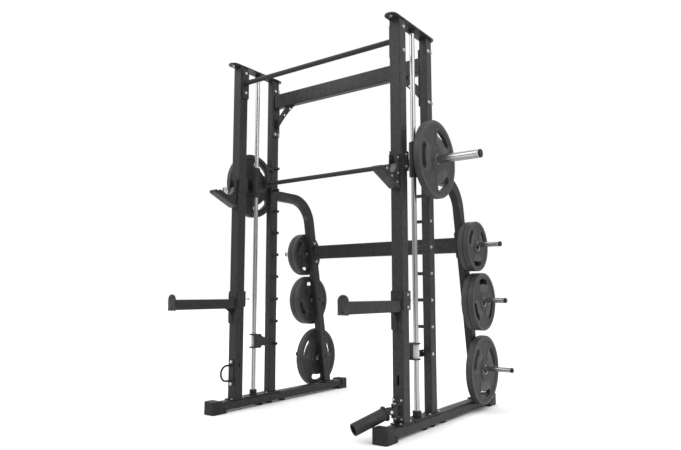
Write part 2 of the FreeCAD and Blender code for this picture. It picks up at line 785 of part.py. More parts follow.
def j_cup_liner():
    """Plastic liner in the mouth of a J-cup."""
    front = UPRIGHT_Y - UPRIGHT_W / 2 - FLANGE_T
    low, high = CUP_Z
    return profile([
        (front, low + 138), (front - 14, low + 138), (front - 20, low + 126),
        (front - 44, low + 86, front - 90, low + 72), (front - 136, low + 92),
        (front - 142, low + 84), (front - 90, low + 56), (front, low + 60),
    ], "YZ", *span(SIDE_X, 39.4))


def j_cup_bolts():
    """Bolt heads of a J-cup and its clamp."""
    front = UPRIGHT_Y - UPRIGHT_W / 2 - FLANGE_T
    outer = SIDE_X + UPRIGHT_W / 2 + WRAP_T
    heads = []
    for z in (CUP_Z[1], CUP_Z[1] - 68):
        heads.append(hex_head((outer, UPRIGHT_Y + 12, z), (1, 0, 0), 7.0, 5.0))
    cheek = SIDE_X + 26
    for y, z in ((front - 130, 1432), (front - 78, 1398), (front - 18, 1374),
                 (front - 12, 1426), (front - 12, 1513)):
        heads.append(hex_head((cheek, y, z), (1, 0, 0), 6.0, 4.0))
    return heads


def spotter_arm():
    """Safety arm with its end plate, brace and back plate."""
    face = UPRIGHT_Y - UPRIGHT_W / 2
    front = face - FLANGE_T
    low, high = SPOT_PLATE_Z
    tube = box_tube(span(SIDE_X, SPOT_W), (FRONT_Y + FLANGE_T, front), SPOT_Z,
                    TUBE_CORNER, Vector(0, 1, 0))
    back = box(span(SIDE_X, CUP_PLATE_W), (front, face), (low, high))
    back = back.makeFillet(8.0, edges_along(back, Vector(0, 1, 0)))
    half = SPOT_W / 2 + 1
    end = profile([
        (SIDE_X - half, 659), (SIDE_X + half, 659), (SIDE_X + half, 757 - half),
        (SIDE_X, 757, SIDE_X - half, 757 - half),
    ], "XZ", FRONT_Y, FRONT_Y + FLANGE_T)
    end = end.cut(rod((SIDE_X, FRONT_Y - CUT, 672), (SIDE_X, FRONT_Y + 3 * CUT, 672), 4.0))
    brace = profile([
        (front, low + 4), (front - 8, low + 4), (front - 24, low + 72, front - 94, SPOT_Z[0]),
        (front, SPOT_Z[0]),
    ], "YZ", *span(SIDE_X, FLANGE_T))
    return fuse([tube, back, end, brace])


def spotter_clamp():
    """Clamp of a spotter arm, drilled for its lock pin."""
    plates = wrap_plates((SPOT_PLATE_Z[0] + 108, SPOT_PLATE_Z[1] + 9), UPRIGHT_Y - UPRIGHT_W / 2)
    rear = UPRIGHT_Y + UPRIGHT_W / 2
    boss = rod((SIDE_X, rear + WRAP_T, LOCK_PIN_Z), (SIDE_X, rear + 22, LOCK_PIN_Z), 10.0)
    hole = rod((SIDE_X, rear - CUT, LOCK_PIN_Z), (SIDE_X, rear + 30, LOCK_PIN_Z),
               LOCK_PIN_R + RUN_FIT)
    return fuse([plates, boss]).cut(hole)


def spotter_bolts():
    """Bolt heads on the clamp of a spotter arm."""
    outer = SIDE_X + UPRIGHT_W / 2 + WRAP_T
    return [hex_head((outer, UPRIGHT_Y + 10, z), (1, 0, 0), 7.0, 5.0) for z in (757, 689)]


def lock_pin():
    """Spring pin through the clamp into the post, with a small knob."""
    rear = UPRIGHT_Y + UPRIGHT_W / 2
    tip = rear + LOCK_PIN_L
    shaft = rod((SIDE_X, rear - 14, LOCK_PIN_Z), (SIDE_X, tip - 2, LOCK_PIN_Z), LOCK_PIN_R)
    knob = rod((SIDE_X, tip - 10, LOCK_PIN_Z), (SIDE_X, tip, LOCK_PIN_Z), 7.0)
    return shaft.fuse(knob.makeFillet(2.0, knob.Edges)).removeSplitter()


def ring_handle():
    """Half-ring handle on its plate."""
    face = UPRIGHT_Y - UPRIGHT_W / 2
    reach = face - RING_REACH
    arc_y = reach + RING_R
    foot_y = face - WRAP_T
    path = Part.Wire([
        Part.makeLine(Vector(SIDE_X, foot_y, RING_Z + RING_R),
                      Vector(SIDE_X, arc_y, RING_Z + RING_R)),
        Part.Arc(Vector(SIDE_X, arc_y, RING_Z + RING_R), Vector(SIDE_X, reach, RING_Z),
                 Vector(SIDE_X, arc_y, RING_Z - RING_R)).toShape(),
        Part.makeLine(Vector(SIDE_X, arc_y, RING_Z - RING_R),
                      Vector(SIDE_X, foot_y, RING_Z - RING_R)),
    ])
    start = Part.makeCircle(RING_ROD_R, Vector(SIDE_X, foot_y, RING_Z + RING_R), Vector(0, 1, 0))
    handle = path.makePipeShell([Part.Wire(start)], True, False)
    plate = box(span(SIDE_X, 40), (foot_y, face), (RING_Z - 86, RING_Z + 86))
    plate = plate.makeFillet(8.0, edges_along(plate, Vector(0, 1, 0)))
    return to_side(fuse([plate, handle]), SIDES["left"])


def ring_bolts():
    """Bolts of the ring handle's plate."""
    face = UPRIGHT_Y - UPRIGHT_W / 2 - WRAP_T
    return [to_side(hex_head((SIDE_X, face, RING_Z + dz), (0, -1, 0)), SIDES["left"])
            for dz in (71, -71)]


# ---- Landmine ----
def mine_frame(shape):
    """Move a landmine piece drawn along -Y from the yaw pivot into its yawed place."""
    shape.rotate(Vector(0, 0, 0), Vector(0, 0, 1), -MINE_YAW)
    shape.translate(Vector(SIDE_X, MINE_Y, MINE_Z))
    return shape


def mine_bracket():
    """Plate with two lugs on the front post."""
    face = UPRIGHT_Y - UPRIGHT_W / 2
    plate = box(span(SIDE_X, 66), (face - WRAP_T, face), (MINE_Z - 56, MINE_Z + 62))
    plate = plate.makeFillet(6.0, edges_along(plate, Vector(0, 1, 0)))
    lugs = []
    for z in (MINE_Z - MINE_LUG_GAP - WRAP_T, MINE_Z + MINE_LUG_GAP):
        lugs.append(plan([
            (SIDE_X - 22, face - WRAP_T), (SIDE_X - 18, MINE_Y),
            (SIDE_X, MINE_Y - 18, SIDE_X + 18, MINE_Y), (SIDE_X + 22, face - WRAP_T),
        ], z, z + WRAP_T))
    bore = rod((SIDE_X, MINE_Y, 0), (SIDE_X, MINE_Y, 2 * MINE_Z), 6.0)
    return fuse([plate] + lugs).cut(bore)


def mine_bolts():
    """Pivot bolt and plate bolts of the landmine bracket."""
    top = MINE_Z + MINE_LUG_GAP + WRAP_T
    bottom = MINE_Z - MINE_LUG_GAP - WRAP_T
    face = UPRIGHT_Y - UPRIGHT_W / 2 - WRAP_T
    pivot = fuse([
        rod((SIDE_X, MINE_Y, bottom), (SIDE_X, MINE_Y, top), 6.0),
        hex_head((SIDE_X, MINE_Y, top), (0, 0, 1)),
        hex_head((SIDE_X, MINE_Y, bottom), (0, 0, -1)),
    ])
    heads = [hex_head((SIDE_X + dx, face, MINE_Z + dz), (0, -1, 0), 6.0, 4.0)
             for dx in (-24, 24) for dz in (-46, 52)]
    return [pivot] + heads


def mine_swivel():
    """Yaw block with two cheeks for the pitch pin."""
    barrel_half = MINE_LUG_GAP - 0.5
    barrel = rod((0, 0, -barrel_half), (0, 0, barrel_half), 17.0)
    cheeks = []
    for low in (-20.0, 12.0):
        cheeks.append(profile([
            (0, -17), (-MINE_PIN_AHEAD, -17), (-MINE_PIN_AHEAD - 17, 0, -MINE_PIN_AHEAD, 17),
            (0, 17),
        ], "YZ", low, low + 8))
    body = fuse([barrel] + cheeks)
    pitch_bore = rod((-30, -MINE_PIN_AHEAD, 0), (30, -MINE_PIN_AHEAD, 0), 6.0)
    yaw_bore = rod((0, 0, -barrel_half), (0, 0, barrel_half), 6.0 + RUN_FIT)
    return mine_frame(body.cut(pitch_bore).cut(yaw_bore))


def mine_pitch_pin():
    """Pitch pin fixed in the swivel's cheeks."""
    pin = rod((-20, -MINE_PIN_AHEAD, 0), (20, -MINE_PIN_AHEAD, 0), 6.0)
    parts = [
        pin, hex_head((20, -MINE_PIN_AHEAD, 0), (1, 0, 0)),
        hex_head((-20, -MINE_PIN_AHEAD, 0), (-1, 0, 0)),
    ]
    return mine_frame(fuse(parts))


def mine_tube():
    """Open tube with its collar and tongue, pitched down about the pitch pin."""
    start = -24.0
    tongue_eye = rod((-11.5, 0, 0), (11.5, 0, 0), 13.0)
    tongue = box((-11.5, 11.5), (start, 0), (-13, 13))
    disc = rod((0, start, 0), (0, start - 10, 0), 40.0)
    disc = disc.makeFillet(2.5, disc.Edges)
    mouth = start - 10 - MINE_TUBE_L
    body = fuse([tongue_eye, tongue, disc, rod((0, start - 10, 0), (0, mouth, 0), MINE_TUBE_R)])
    body = body.cut(rod((0, start - 14, 0), (0, mouth - CUT, 0), MINE_TUBE_R - 5))
    body = body.cut(rod((-20, 0, 0), (20, 0, 0), 6.0 + RUN_FIT))
    body.rotate(Vector(0, 0, 0), Vector(1, 0, 0), MINE_PITCH)
    body.translate(Vector(0, -MINE_PIN_AHEAD, 0))
    return mine_frame(body)


# ---- Build ----
def build_sides():
    """Sub-parts that stand once on each side."""
    makers = {
        "safety_stop": safety_stop(),
        "stop_bush": stop_bush(),
        "spotter_arm": spotter_arm(),
        "lock_pin": lock_pin(),
        "bar_weight": bar_weight(),
    }
    for label, side in SIDES.items():
        save("front_upright_" + label, front_upright(side))
        for name, shape in makers.items():
            save(name + "_" + label, to_side(shape, side))
        for name, stack in STACKS.items():
            plates = [to_side(plate, side) for plate in stack_plates(stack)]
            save(name + "_weights_" + label, *plates)


def build_pairs():
    """Pieces whose left and right copies share one node."""
    groups = {
        "base_rails": [base_rail()],
        "front_feet": [foot(FRONT_FOOT_Y, 1, FRONT_FOOT_TOP)],
        "rear_feet": [foot(REAR_Y, -1, REAR_FOOT_TOP)],
        "rail_pads": rail_pads(),
        "foot_plates": foot_plates(),
        "rear_uprights": [rear_upright()],
        "top_plates": [top_plate()],
        "guide_rods": [guide_rod()],
        "rod_buffers": [rod_buffer()],
        "rod_sockets": [rod_socket()],
        "pull_up_flanges": [pull_up_flange()],
        "beam_flanges": [beam_flange()],
        "corner_gussets": [corner_gusset()],
        "storage_arms": [storage_arm()],
        "arm_end_plates": [arm_end_plate()],
        "frame_bolts": upright_bolts() + base_bolts() + arm_bolts(),
        "storage_pins": [storage_pin(z) for z in PIN_HEIGHTS],
        "pin_caps": [pin_cap(z) for z in PIN_HEIGHTS],
        "lockout_pegs": [lockout_peg(z) for z in peg_heights()],
        "peg_bolts": [peg_bolt(z) for z in peg_heights()],
        "carriage_tubes": [carriage_tube()],
        "linear_bearings": linear_bearings(),
        "bar_housings": [bar_housing()],
        "bar_hooks": [bar_hook()],
        "bar_sleeves": [bar_sleeve()],
        "sleeve_collars": [sleeve_collar()],
        "sleeve_caps": [sleeve_cap()],
        "j_cups": [j_cup()],
        "j_cup_liners": [j_cup_liner()],
        "post_clamps": [j_cup_clamp(), spotter_clamp()],
        "clamp_bolts": j_cup_bolts() + spotter_bolts(),
    }
    for name, shapes in groups.items():
        save(name, *[copy for shape in shapes for copy in both(shape)])


def build_singles():
    """Sub-parts that exist once."""
    beam_half = SIDE_X - REAR_UPRIGHT_W / 2 - FLANGE_T
    save("pull_up_bar", pull_up_bar())
    save("rear_top_beam", cross_beam(beam_half, REAR_UPRIGHT_Y, TOP_BEAM_Z))
    save("lower_cross_beam", cross_beam(beam_half, LOW_BEAM_Y, LOW_BEAM_Z))
    save("smith_bar", smith_bar())
    save("ring_handle", ring_handle())
    save("ring_bolts", *ring_bolts())
    save("landmine_bracket", mine_bracket())
    save("landmine_bolts", *mine_bolts())
    save("landmine_swivel", mine_swivel())
    save("landmine_pitch_pin", mine_pitch_pin())
    save("landmine_tube", mine_tube())


build_sides()
build_pairs()
build_singles()
print(len(WRITTEN), "sub-parts written")
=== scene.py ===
"""Finishes and detailed pieces of a smith machine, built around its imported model."""

import json
import logging
import math
from abc import ABC, abstractmethod
from dataclasses import dataclass, field
from enum import Enum
from typing import Iterable, Sequence, Union

import bmesh
import bpy
from mathutils import Matrix, Vector

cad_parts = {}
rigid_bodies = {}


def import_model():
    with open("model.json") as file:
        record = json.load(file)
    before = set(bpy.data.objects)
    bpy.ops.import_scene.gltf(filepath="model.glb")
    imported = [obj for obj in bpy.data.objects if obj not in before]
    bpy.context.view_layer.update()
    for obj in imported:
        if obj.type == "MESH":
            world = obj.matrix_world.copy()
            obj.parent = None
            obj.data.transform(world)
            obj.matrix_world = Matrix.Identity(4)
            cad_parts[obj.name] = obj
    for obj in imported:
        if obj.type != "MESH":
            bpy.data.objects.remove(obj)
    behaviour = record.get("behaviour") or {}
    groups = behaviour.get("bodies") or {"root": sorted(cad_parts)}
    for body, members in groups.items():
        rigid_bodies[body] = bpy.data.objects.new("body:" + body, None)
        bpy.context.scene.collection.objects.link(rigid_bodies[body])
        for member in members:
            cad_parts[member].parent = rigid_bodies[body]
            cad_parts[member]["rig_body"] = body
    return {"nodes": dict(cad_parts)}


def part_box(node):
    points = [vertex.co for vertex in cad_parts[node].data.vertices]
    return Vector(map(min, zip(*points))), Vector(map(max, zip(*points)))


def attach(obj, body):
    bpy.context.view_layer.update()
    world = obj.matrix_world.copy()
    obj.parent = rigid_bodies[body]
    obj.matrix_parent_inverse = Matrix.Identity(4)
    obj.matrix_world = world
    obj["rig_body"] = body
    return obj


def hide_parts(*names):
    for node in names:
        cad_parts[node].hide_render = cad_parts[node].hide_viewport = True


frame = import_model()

LOG = logging.getLogger("smith_machine")
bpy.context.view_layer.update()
MM = 0.001
BUSH_WALL = 3.0 * MM


# ---------------------------------------------------------------- choices
class Axis(Enum):
    """An axis of the frame, with the index of its coordinate."""

    X = 0
    Y = 1
    Z = 2

    def turn(self) -> Matrix:
        """Rotation that takes +Z to this axis."""
        if self is Axis.X:
            return Matrix.Rotation(math.pi / 2, 4, "Y")
        if self is Axis.Y:
            return Matrix.Rotation(-math.pi / 2, 4, "X")
        return Matrix.Identity(4)


class Side(Enum):
    """A side of the rack, with the sign of its X."""

    LEFT = -1
    RIGHT = 1

    @property
    def label(self) -> str:
        """The word used in node names."""
        return self.name.lower()


# ---------------------------------------------------------------- shader maths
Number = Union[int, float]
Tint = Union["Value", Sequence[float]]
Section = list[tuple[float, float]]


class Value:
    """A shader value whose operators add Math nodes."""

    def __init__(self, tree: "ShaderTree", socket: bpy.types.NodeSocket) -> None:
        """Wraps an output socket of a tree."""
        self.tree = tree
        self.socket = socket

    def _maths(self, operation: str, first: object, second: object) -> "Value":
        """A Math node on two operands."""
        return self.tree.node("ShaderNodeMath", {"operation": operation}, {0: first, 1: second})

    def __add__(self, other: Union["Value", Number]) -> "Value":
        """Sum."""
        return self._maths("ADD", self, other)

    __radd__ = __add__

    def __sub__(self, other: Union["Value", Number]) -> "Value":
        """Difference."""
        return self._maths("SUBTRACT", self, other)

    def __rsub__(self, other: Number) -> "Value":
        """Reflected difference, so that 1 - mask works."""
        return self._maths("SUBTRACT", other, self)

    def __mul__(self, other: Union["Value", Number]) -> "Value":
        """Product."""
        return self._maths("MULTIPLY", self, other)

    __rmul__ = __mul__


class ShaderTree:
    """The node tree of a material or a world, under construction."""

    def __init__(self, owner: Union[bpy.types.Material, bpy.types.World], output: str) -> None:
        """Empties the owner's tree, but for a new output node."""
        owner.use_nodes = True
        self.tree = owner.node_tree
        self.tree.nodes.clear()
        self.output = self.tree.nodes.new(output)

    def node(
        self,
        kind: str,
        settings: dict[str, object] | None = None,
        inputs: dict[object, object] | None = None,
        output: Union[int, str] = 0,
    ) -> Value:
        """Adds a node.

        Args:
            kind: the node's type name.
            settings: properties set before its sockets; "stops" holds a ramp's stops
                and "curve" a float curve's points.
            inputs: values or links by socket name or index.
            output: the socket to hand back.

        Returns:
            The wrapped output socket.
        """
        made = self.tree.nodes.new(kind)
        for key, value in (settings or {}).items():
            if key == "stops":
                self._stops(made, value)
            elif key == "curve":
                self._curve(made, value)
            else:
                setattr(made, key, value)
        for key, value in (inputs or {}).items():
            if isinstance(value, Value):
                self.tree.links.new(value.socket, made.inputs[key])
            else:
                made.inputs[key].default_value = value
        return Value(self, made.outputs[output])

    @staticmethod
    def _stops(ramp: bpy.types.Node, stops: Sequence[tuple[float, float]]) -> None:
        """Fills a colour ramp with grey stops."""
        elements = ramp.color_ramp.elements
        while len(elements) < len(stops):
            elements.new(0.5)
        for element, (place, level) in zip(elements, stops):
            element.position = place
            element.color = (level, level, level, 1)

    @staticmethod
    def _curve(fade: bpy.types.Node, points: Sequence[tuple[float, float]]) -> None:
        """Fills a float curve with its points."""
        curve = fade.mapping.curves[0]
        while len(curve.points) < len(points):
            curve.points.new(0.5, 0.5)
        for point, place in zip(curve.points, points):
            point.location = place
        fade.mapping.update()

    def end(self, shader: Value) -> None:
        """Links the last shader to the output."""
        self.tree.links.new(shader.socket, self.output.inputs["Surface"])


class Paint(ShaderTree):
    """A material under construction."""

    def __init__(self, name: str) -> None:
        """Starts an empty node material."""
        self.material = bpy.data.materials.new(name)
        super().__init__(self.material, "ShaderNodeOutputMaterial")

    def place(self, scale: Sequence[float]) -> Value:
        """Object coordinates, stretched by a scale."""
        spot = self.node("ShaderNodeTexCoord", output="Object")
        return self.node("ShaderNodeMapping", inputs={"Vector": spot, "Scale": scale})

    def noise(
        self, scale: float, detail: float = 2.0, stretch: Sequence[float] = (1, 1, 1)
    ) -> Value:
        """Noise on Object coordinates, from 0 to 1."""
        return self.node(
            "ShaderNodeTexNoise",
            inputs={"Vector": self.place(stretch), "Scale": scale, "Detail": detail},
        )

    def attribute(self, name: str) -> Value:
        """A number stored on the mesh."""
        return self.node("ShaderNodeAttribute", {"attribute_name": name}, output="Fac")

    def ramp(self, value: Value, first: float, last: float) -> Value:
        """Grey ramp of a value, black up to a first level and white from a last."""
        stops = [(first, 0.0), (last, 1.0)]
        return self.node("ShaderNodeValToRGB", {"stops": stops}, {"Fac": value})

    def blend(self, mask: Value, first: Tint, second: Tint) -> Value:
        """Mixes two colours by a mask."""
        inputs: dict[object, object] = {0: mask}
        for index, tint in ((6, first), (7, second)):
            inputs[index] = tint if isinstance(tint, Value) else (*tint, 1)
        return self.node("ShaderNodeMix", {"data_type": "RGBA"}, inputs, output=2)

    def bump(self, height: Value, distance: float, strength: float) -> Value:
        """Normal from a height."""
        return self.node(
            "ShaderNodeBump", inputs={"Height": height, "Distance": distance, "Strength": strength}
        )

    def finish(self, inputs: dict[object, object]) -> bpy.types.Material:
        """Ends the tree in a Principled shader.

        Args:
            inputs: the shader's values and links by socket name.

        Returns:
            The finished material.
        """
        self.end(self.node("ShaderNodeBsdfPrincipled", inputs=inputs))
        return self.material


def scaled(tint: Sequence[float], factor: float) -> tuple[float, ...]:
    """A colour made lighter or darker."""
    return tuple(factor * part for part in tint)


# ---------------------------------------------------------------- finishes
@dataclass(frozen=True)
class Finish(ABC):
    """A surface finish, made into a material once, for a slot of the record."""

    slot: str
    label: str

    @abstractmethod
    def material(self) -> bpy.types.Material:
        """Builds the node material."""

    def dress(self, piece: bpy.types.Object) -> None:
        """Gives a piece this finish as its only material."""
        piece.data.materials.clear()
        piece.data.materials.append(self.ready())
        for polygon in piece.data.polygons:
            polygon.material_index = 0

    def fill_slots(self, node: str) -> None:
        """Puts this finish in the material slots of a CAD node, whose mesh is left alone."""
        for slot in frame["nodes"][node].material_slots:
            slot.material = self.ready()

    def ready(self) -> bpy.types.Material:
        """The finish's material, built the first time that it is asked for."""
        return bpy.data.materials.get(self.label) or self.material()


@dataclass(frozen=True)
class PowderCoat(Finish):
    """Satin powder coat with orange peel, faint dust and lighter edges, partly real wear and partly
    painted highlight.
    """

    shade: tuple[float, float, float] = (0.0100, 0.0100, 0.0108)
    # Lighter colour of sharp edges: partly real wear, partly painted highlight where the edges
    # catch the light.
    edge: tuple[float, float, float] = (0.045, 0.045, 0.047)
    gloss: float = 0.26

    def material(self) -> bpy.types.Material:
        """Builds the coat."""
        paint = Paint(self.label)
        drift = paint.noise(2.2, 4.0)
        speck = paint.noise(420.0, 1.0)
        peel = paint.noise(620.0, 2.0)
        rub_and_sheen = paint.noise(46.0, 5.0)
        # Mask of sharp edges, patched by noise, where the coat is painted lighter: partly real
        # wear, partly painted highlight.
        lighter_edge = paint.ramp(paint.attribute("edge") * (0.45 + rub_and_sheen * 0.9), 0.42, 0.80)
        base = paint.blend(paint.ramp(drift, 0.35, 0.7), self.shade, scaled(self.shade, 1.35))
        smear = paint.ramp(paint.noise(9.0, 6.0, (1, 1, 0.35)), 0.4, 0.75)
        return paint.finish({
            # Edges painted lighter: partly real wear, partly painted highlight.
            "Base Color": paint.blend(lighter_edge * 0.65, base, self.edge),
            "Roughness": 0.43 + speck * 0.06 + smear * 0.09 - lighter_edge * 0.08,
            "Specular IOR Level": self.gloss,
            "Normal": paint.bump(peel, 0.12 * MM, 0.55),
        })


@dataclass(frozen=True)
class Chrome(Finish):
    """Hard chrome with fine polishing marks along one axis and faint handling marks."""

    tone: float = 0.40
    rough: float = 0.20
    grain: tuple[float, float, float] = (1.0, 1.0, 0.02)

    def material(self) -> bpy.types.Material:
        """Builds the plating."""
        paint = Paint(self.label)
        lines = paint.noise(900.0, 2.0, self.grain)
        smudge = paint.ramp(paint.noise(14.0, 5.0), 0.45, 0.8)
        tone = (self.tone, self.tone * 1.005, self.tone * 1.015)
        return paint.finish({
            "Base Color": paint.blend(smudge * 0.6 + lines * 0.25, tone, scaled(tone, 0.86)),
            "Metallic": 1.0,
            "Roughness": self.rough + lines * 0.07 + smudge * 0.06,
            "Normal": paint.bump(lines, 0.03 * MM, 0.4),
        })


@dataclass(frozen=True)
class Zinc(Finish):
    """Bright zinc plating with a mottled sheen."""

    tone: float = 0.62

    def material(self) -> bpy.types.Material:
        """Builds the plating."""
        paint = Paint(self.label)
        mottle = paint.noise(160.0, 4.0)
        rub_and_sheen = paint.attribute("edge")
        tone = (self.tone, self.tone, self.tone * 1.01)
        return paint.finish({
            "Base Color": paint.blend(mottle * 0.7, tone, scaled(tone, 0.62)),
            "Metallic": 1.0,
            "Roughness": 0.24 + mottle * 0.2 - rub_and_sheen * 0.05,
            "Normal": paint.bump(mottle, 0.06 * MM, 0.5),
        })


@dataclass(frozen=True)
class Moulded(Finish):
    """Moulded plastic with a spark-eroded texture and scuffed edges."""

    shade: tuple[float, float, float] = (0.008, 0.008, 0.0083)
    scuff: tuple[float, float, float] = (0.03, 0.03, 0.03)
    rough: float = 0.50
    grain: float = 900.0
    gloss: float = 0.26

    def material(self) -> bpy.types.Material:
        """Builds the plastic."""
        paint = Paint(self.label)
        grain = paint.noise(self.grain, 2.0)
        patch = paint.ramp(paint.noise(30.0, 5.0), 0.4, 0.72)
        lighter_edge = paint.attribute("edge") * patch
        base = paint.blend(patch * 0.5, self.shade, scaled(self.shade, 1.5))
        return paint.finish({
            "Base Color": paint.blend(lighter_edge * 0.7, base, self.scuff),
            "Roughness": self.rough + grain * 0.10 - patch * 0.05,
            "Specular IOR Level": self.gloss,
            "Normal": paint.bump(grain, 0.10 * MM, 0.6),
        })


@dataclass(frozen=True)
class RubberCoat(Finish):
    """Rubber over iron: dull bloom, fine grain and a rim painted lighter, partly real rubbing and
    partly painted highlight.
    """

    shade: tuple[float, float, float] = (0.018, 0.018, 0.019)
    bloom: tuple[float, float, float] = (0.031, 0.031, 0.032)
    # Lighter colour of the rim and relief edges: partly real rubbing, partly painted highlight
    # along the edges.
    rubbed: tuple[float, float, float] = (0.085, 0.085, 0.087)
    gloss: float = 0.34

    def material(self) -> bpy.types.Material:
        """Builds the rubber."""
        paint = Paint(self.label)
        grain = paint.noise(700.0, 3.0)
        cloud = paint.ramp(paint.noise(7.0, 6.0), 0.35, 0.75)
        # Mask of sharp edges where the rubber is painted lighter: partly real rubbing, partly
        # painted highlight.
        rub_and_sheen = paint.ramp(paint.attribute("edge") * (0.5 + paint.noise(24.0, 4.0)), 0.3, 0.9)
        base = paint.blend(cloud * 0.8, self.shade, self.bloom)
        return paint.finish({
            "Base Color": paint.blend(rub_and_sheen * 0.45, base, self.rubbed),
            "Roughness": 0.50 + grain * 0.08 + cloud * 0.08 - rub_and_sheen * 0.14,
            "Specular IOR Level": self.gloss,
            "Normal": paint.bump(grain, 0.16 * MM, 0.5),
        })


@dataclass(frozen=True)
class PaleFloor(Finish):
    """Plain pale studio floor with a barely visible unevenness."""

    shade: tuple[float, float, float] = (0.90, 0.90, 0.90)

    def material(self) -> bpy.types.Material:
        """Builds the floor."""
        paint = Paint(self.label)
        cloud = paint.noise(0.7, 3.0)
        return paint.finish({
            "Base Color": paint.blend(cloud, self.shade, scaled(self.shade, 0.985)),
            "Roughness": 0.75 + cloud * 0.05,
            "Specular IOR Level": 0.1,
        })


FRAME_PAINT = PowderCoat("frame_paint", "charcoal_powder_coat")
# The second colour of a coat is its edge colour: partly real wear, partly painted highlight.
BAR_PAINT = PowderCoat(
    "frame_paint", "black_powder_coat", (0.010, 0.010, 0.011), (0.040, 0.040, 0.042)
)
ROD_CHROME = Chrome("chrome", "hard_chrome")
ZINC = Zinc("zinc", "bright_zinc")
BLACK_PLASTIC = Moulded("black_plastic", "black_moulding")
SOFT_RUBBER = Moulded(
    "soft_rubber", "dull_rubber", (0.012, 0.012, 0.012), (0.03, 0.03, 0.03), 0.66, 500.0
)
PALE_PLASTIC = Moulded(
    "light_plastic", "pale_moulding", (0.42, 0.42, 0.41), (0.55, 0.55, 0.54), 0.40, 700.0
)
GREY_PLASTIC = Moulded(
    "light_plastic", "grey_liner", (0.07, 0.07, 0.07), (0.12, 0.12, 0.12), 0.42, 700.0
)
BEARING_STEEL = Chrome("bearing_steel", "ground_steel", 0.45, 0.3, (0.02, 0.02, 1.0))
PLATE_RUBBER = RubberCoat("plate_rubber", "plate_rubber_coat")


# ---------------------------------------------------------------- mesh helpers
def new_piece(name: str, form: bmesh.types.BMesh) -> bpy.types.Object:
    """Turns a bmesh into a linked object and frees it."""
    mesh = bpy.data.meshes.new(name)
    form.to_mesh(mesh)
    form.free()
    piece = bpy.data.objects.new(name, mesh)
    bpy.context.scene.collection.objects.link(piece)
    return piece


def settle(piece: bpy.types.Object) -> bpy.types.Object:
    """Applies every modifier, so that the piece is a plain mesh."""
    graph = bpy.context.evaluated_depsgraph_get()
    settled = bpy.data.meshes.new_from_object(piece.evaluated_get(graph))
    old = piece.data
    piece.modifiers.clear()
    piece.data = settled
    bpy.data.meshes.remove(old)
    return piece


def round_edges(
    piece: bpy.types.Object, width: float, segments: int = 2, corner: float = 50.0
) -> bpy.types.Object:
    """Rounds sharp edges, weights the normals and stores where the edges are.

    Args:
        piece: the object to finish.
        width: the rounding's width in metres.
        segments: the rounding's divisions.
        corner: the least angle, in degrees, that counts as a sharp edge.

    Returns:
        The same object with a plain mesh.
    """
    bevel = piece.modifiers.new("round", "BEVEL")
    bevel.width = width
    bevel.segments = segments
    bevel.limit_method = "ANGLE"
    bevel.angle_limit = math.radians(corner)
    bevel.harden_normals = False
    settle(piece)
    piece.data.shade_smooth()
    piece.data.set_sharp_from_angle(angle=math.radians(corner))
    weighted = piece.modifiers.new("weight", "WEIGHTED_NORMAL")
    weighted.keep_sharp = True
    settle(piece)
    store_edges(piece)
    return piece


def store_edges(piece: bpy.types.Object, full_angle: float = 40.0) -> None:
    """Stores on each vertex how sharply the surface bends there, from 0 to 1."""
    form = bmesh.new()
    form.from_mesh(piece.data)
    bends = []
    for vertex in form.verts:
        edges = [edge for edge in vertex.link_edges if len(edge.link_faces) == 2]
        sharpest = max((edge.calc_face_angle(0.0) for edge in edges), default=0.0)
        bends.append(min(1.0, sharpest / math.radians(full_angle)))
    form.free()
    stored = piece.data.attributes.new("edge", "FLOAT", "POINT")
    stored.data.foreach_set("value", bends)


def node_form(node: str) -> bmesh.types.BMesh:
    """A welded copy of a node's mesh with its flat faces joined up."""
    form = bmesh.new()
    form.from_mesh(frame["nodes"][node].data)
    bmesh.ops.remove_doubles(form, verts=form.verts, dist=2e-6)
    bmesh.ops.dissolve_limit(
        form, angle_limit=math.radians(0.4), verts=form.verts, edges=form.edges
    )
    return form


def islands(form: bmesh.types.BMesh) -> list[list[bmesh.types.BMFace]]:
    """The connected groups of faces in a form, in the order of their first faces."""
    left = set(form.faces)
    found = []
    for seed in form.faces:
        if seed not in left:
            continue
        left.remove(seed)
        group, front = [], [seed]
        while front:
            face = front.pop()
            group.append(face)
            for edge in face.edges:
                for near in edge.link_faces:
                    if near in left:
                        left.remove(near)
                        front.append(near)
        found.append(group)
    return found


def seat(piece: bpy.types.Object, nodes: Iterable[str], finish: Finish, hide: bool = True) -> None:
    """Finishes a piece, lets it ride on its nodes' body and stand for them.

    Args:
        piece: the finished object.
        nodes: the CAD nodes that it belongs to.
        finish: its surface finish.
        hide: whether it replaces the nodes.
    """
    named = list(nodes)
    finish.dress(piece)
    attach(piece, frame["nodes"][named[0]]["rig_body"])
    if hide:
        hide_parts(*named)
    LOG.info("%s: %d faces", piece.name, len(piece.data.polygons))


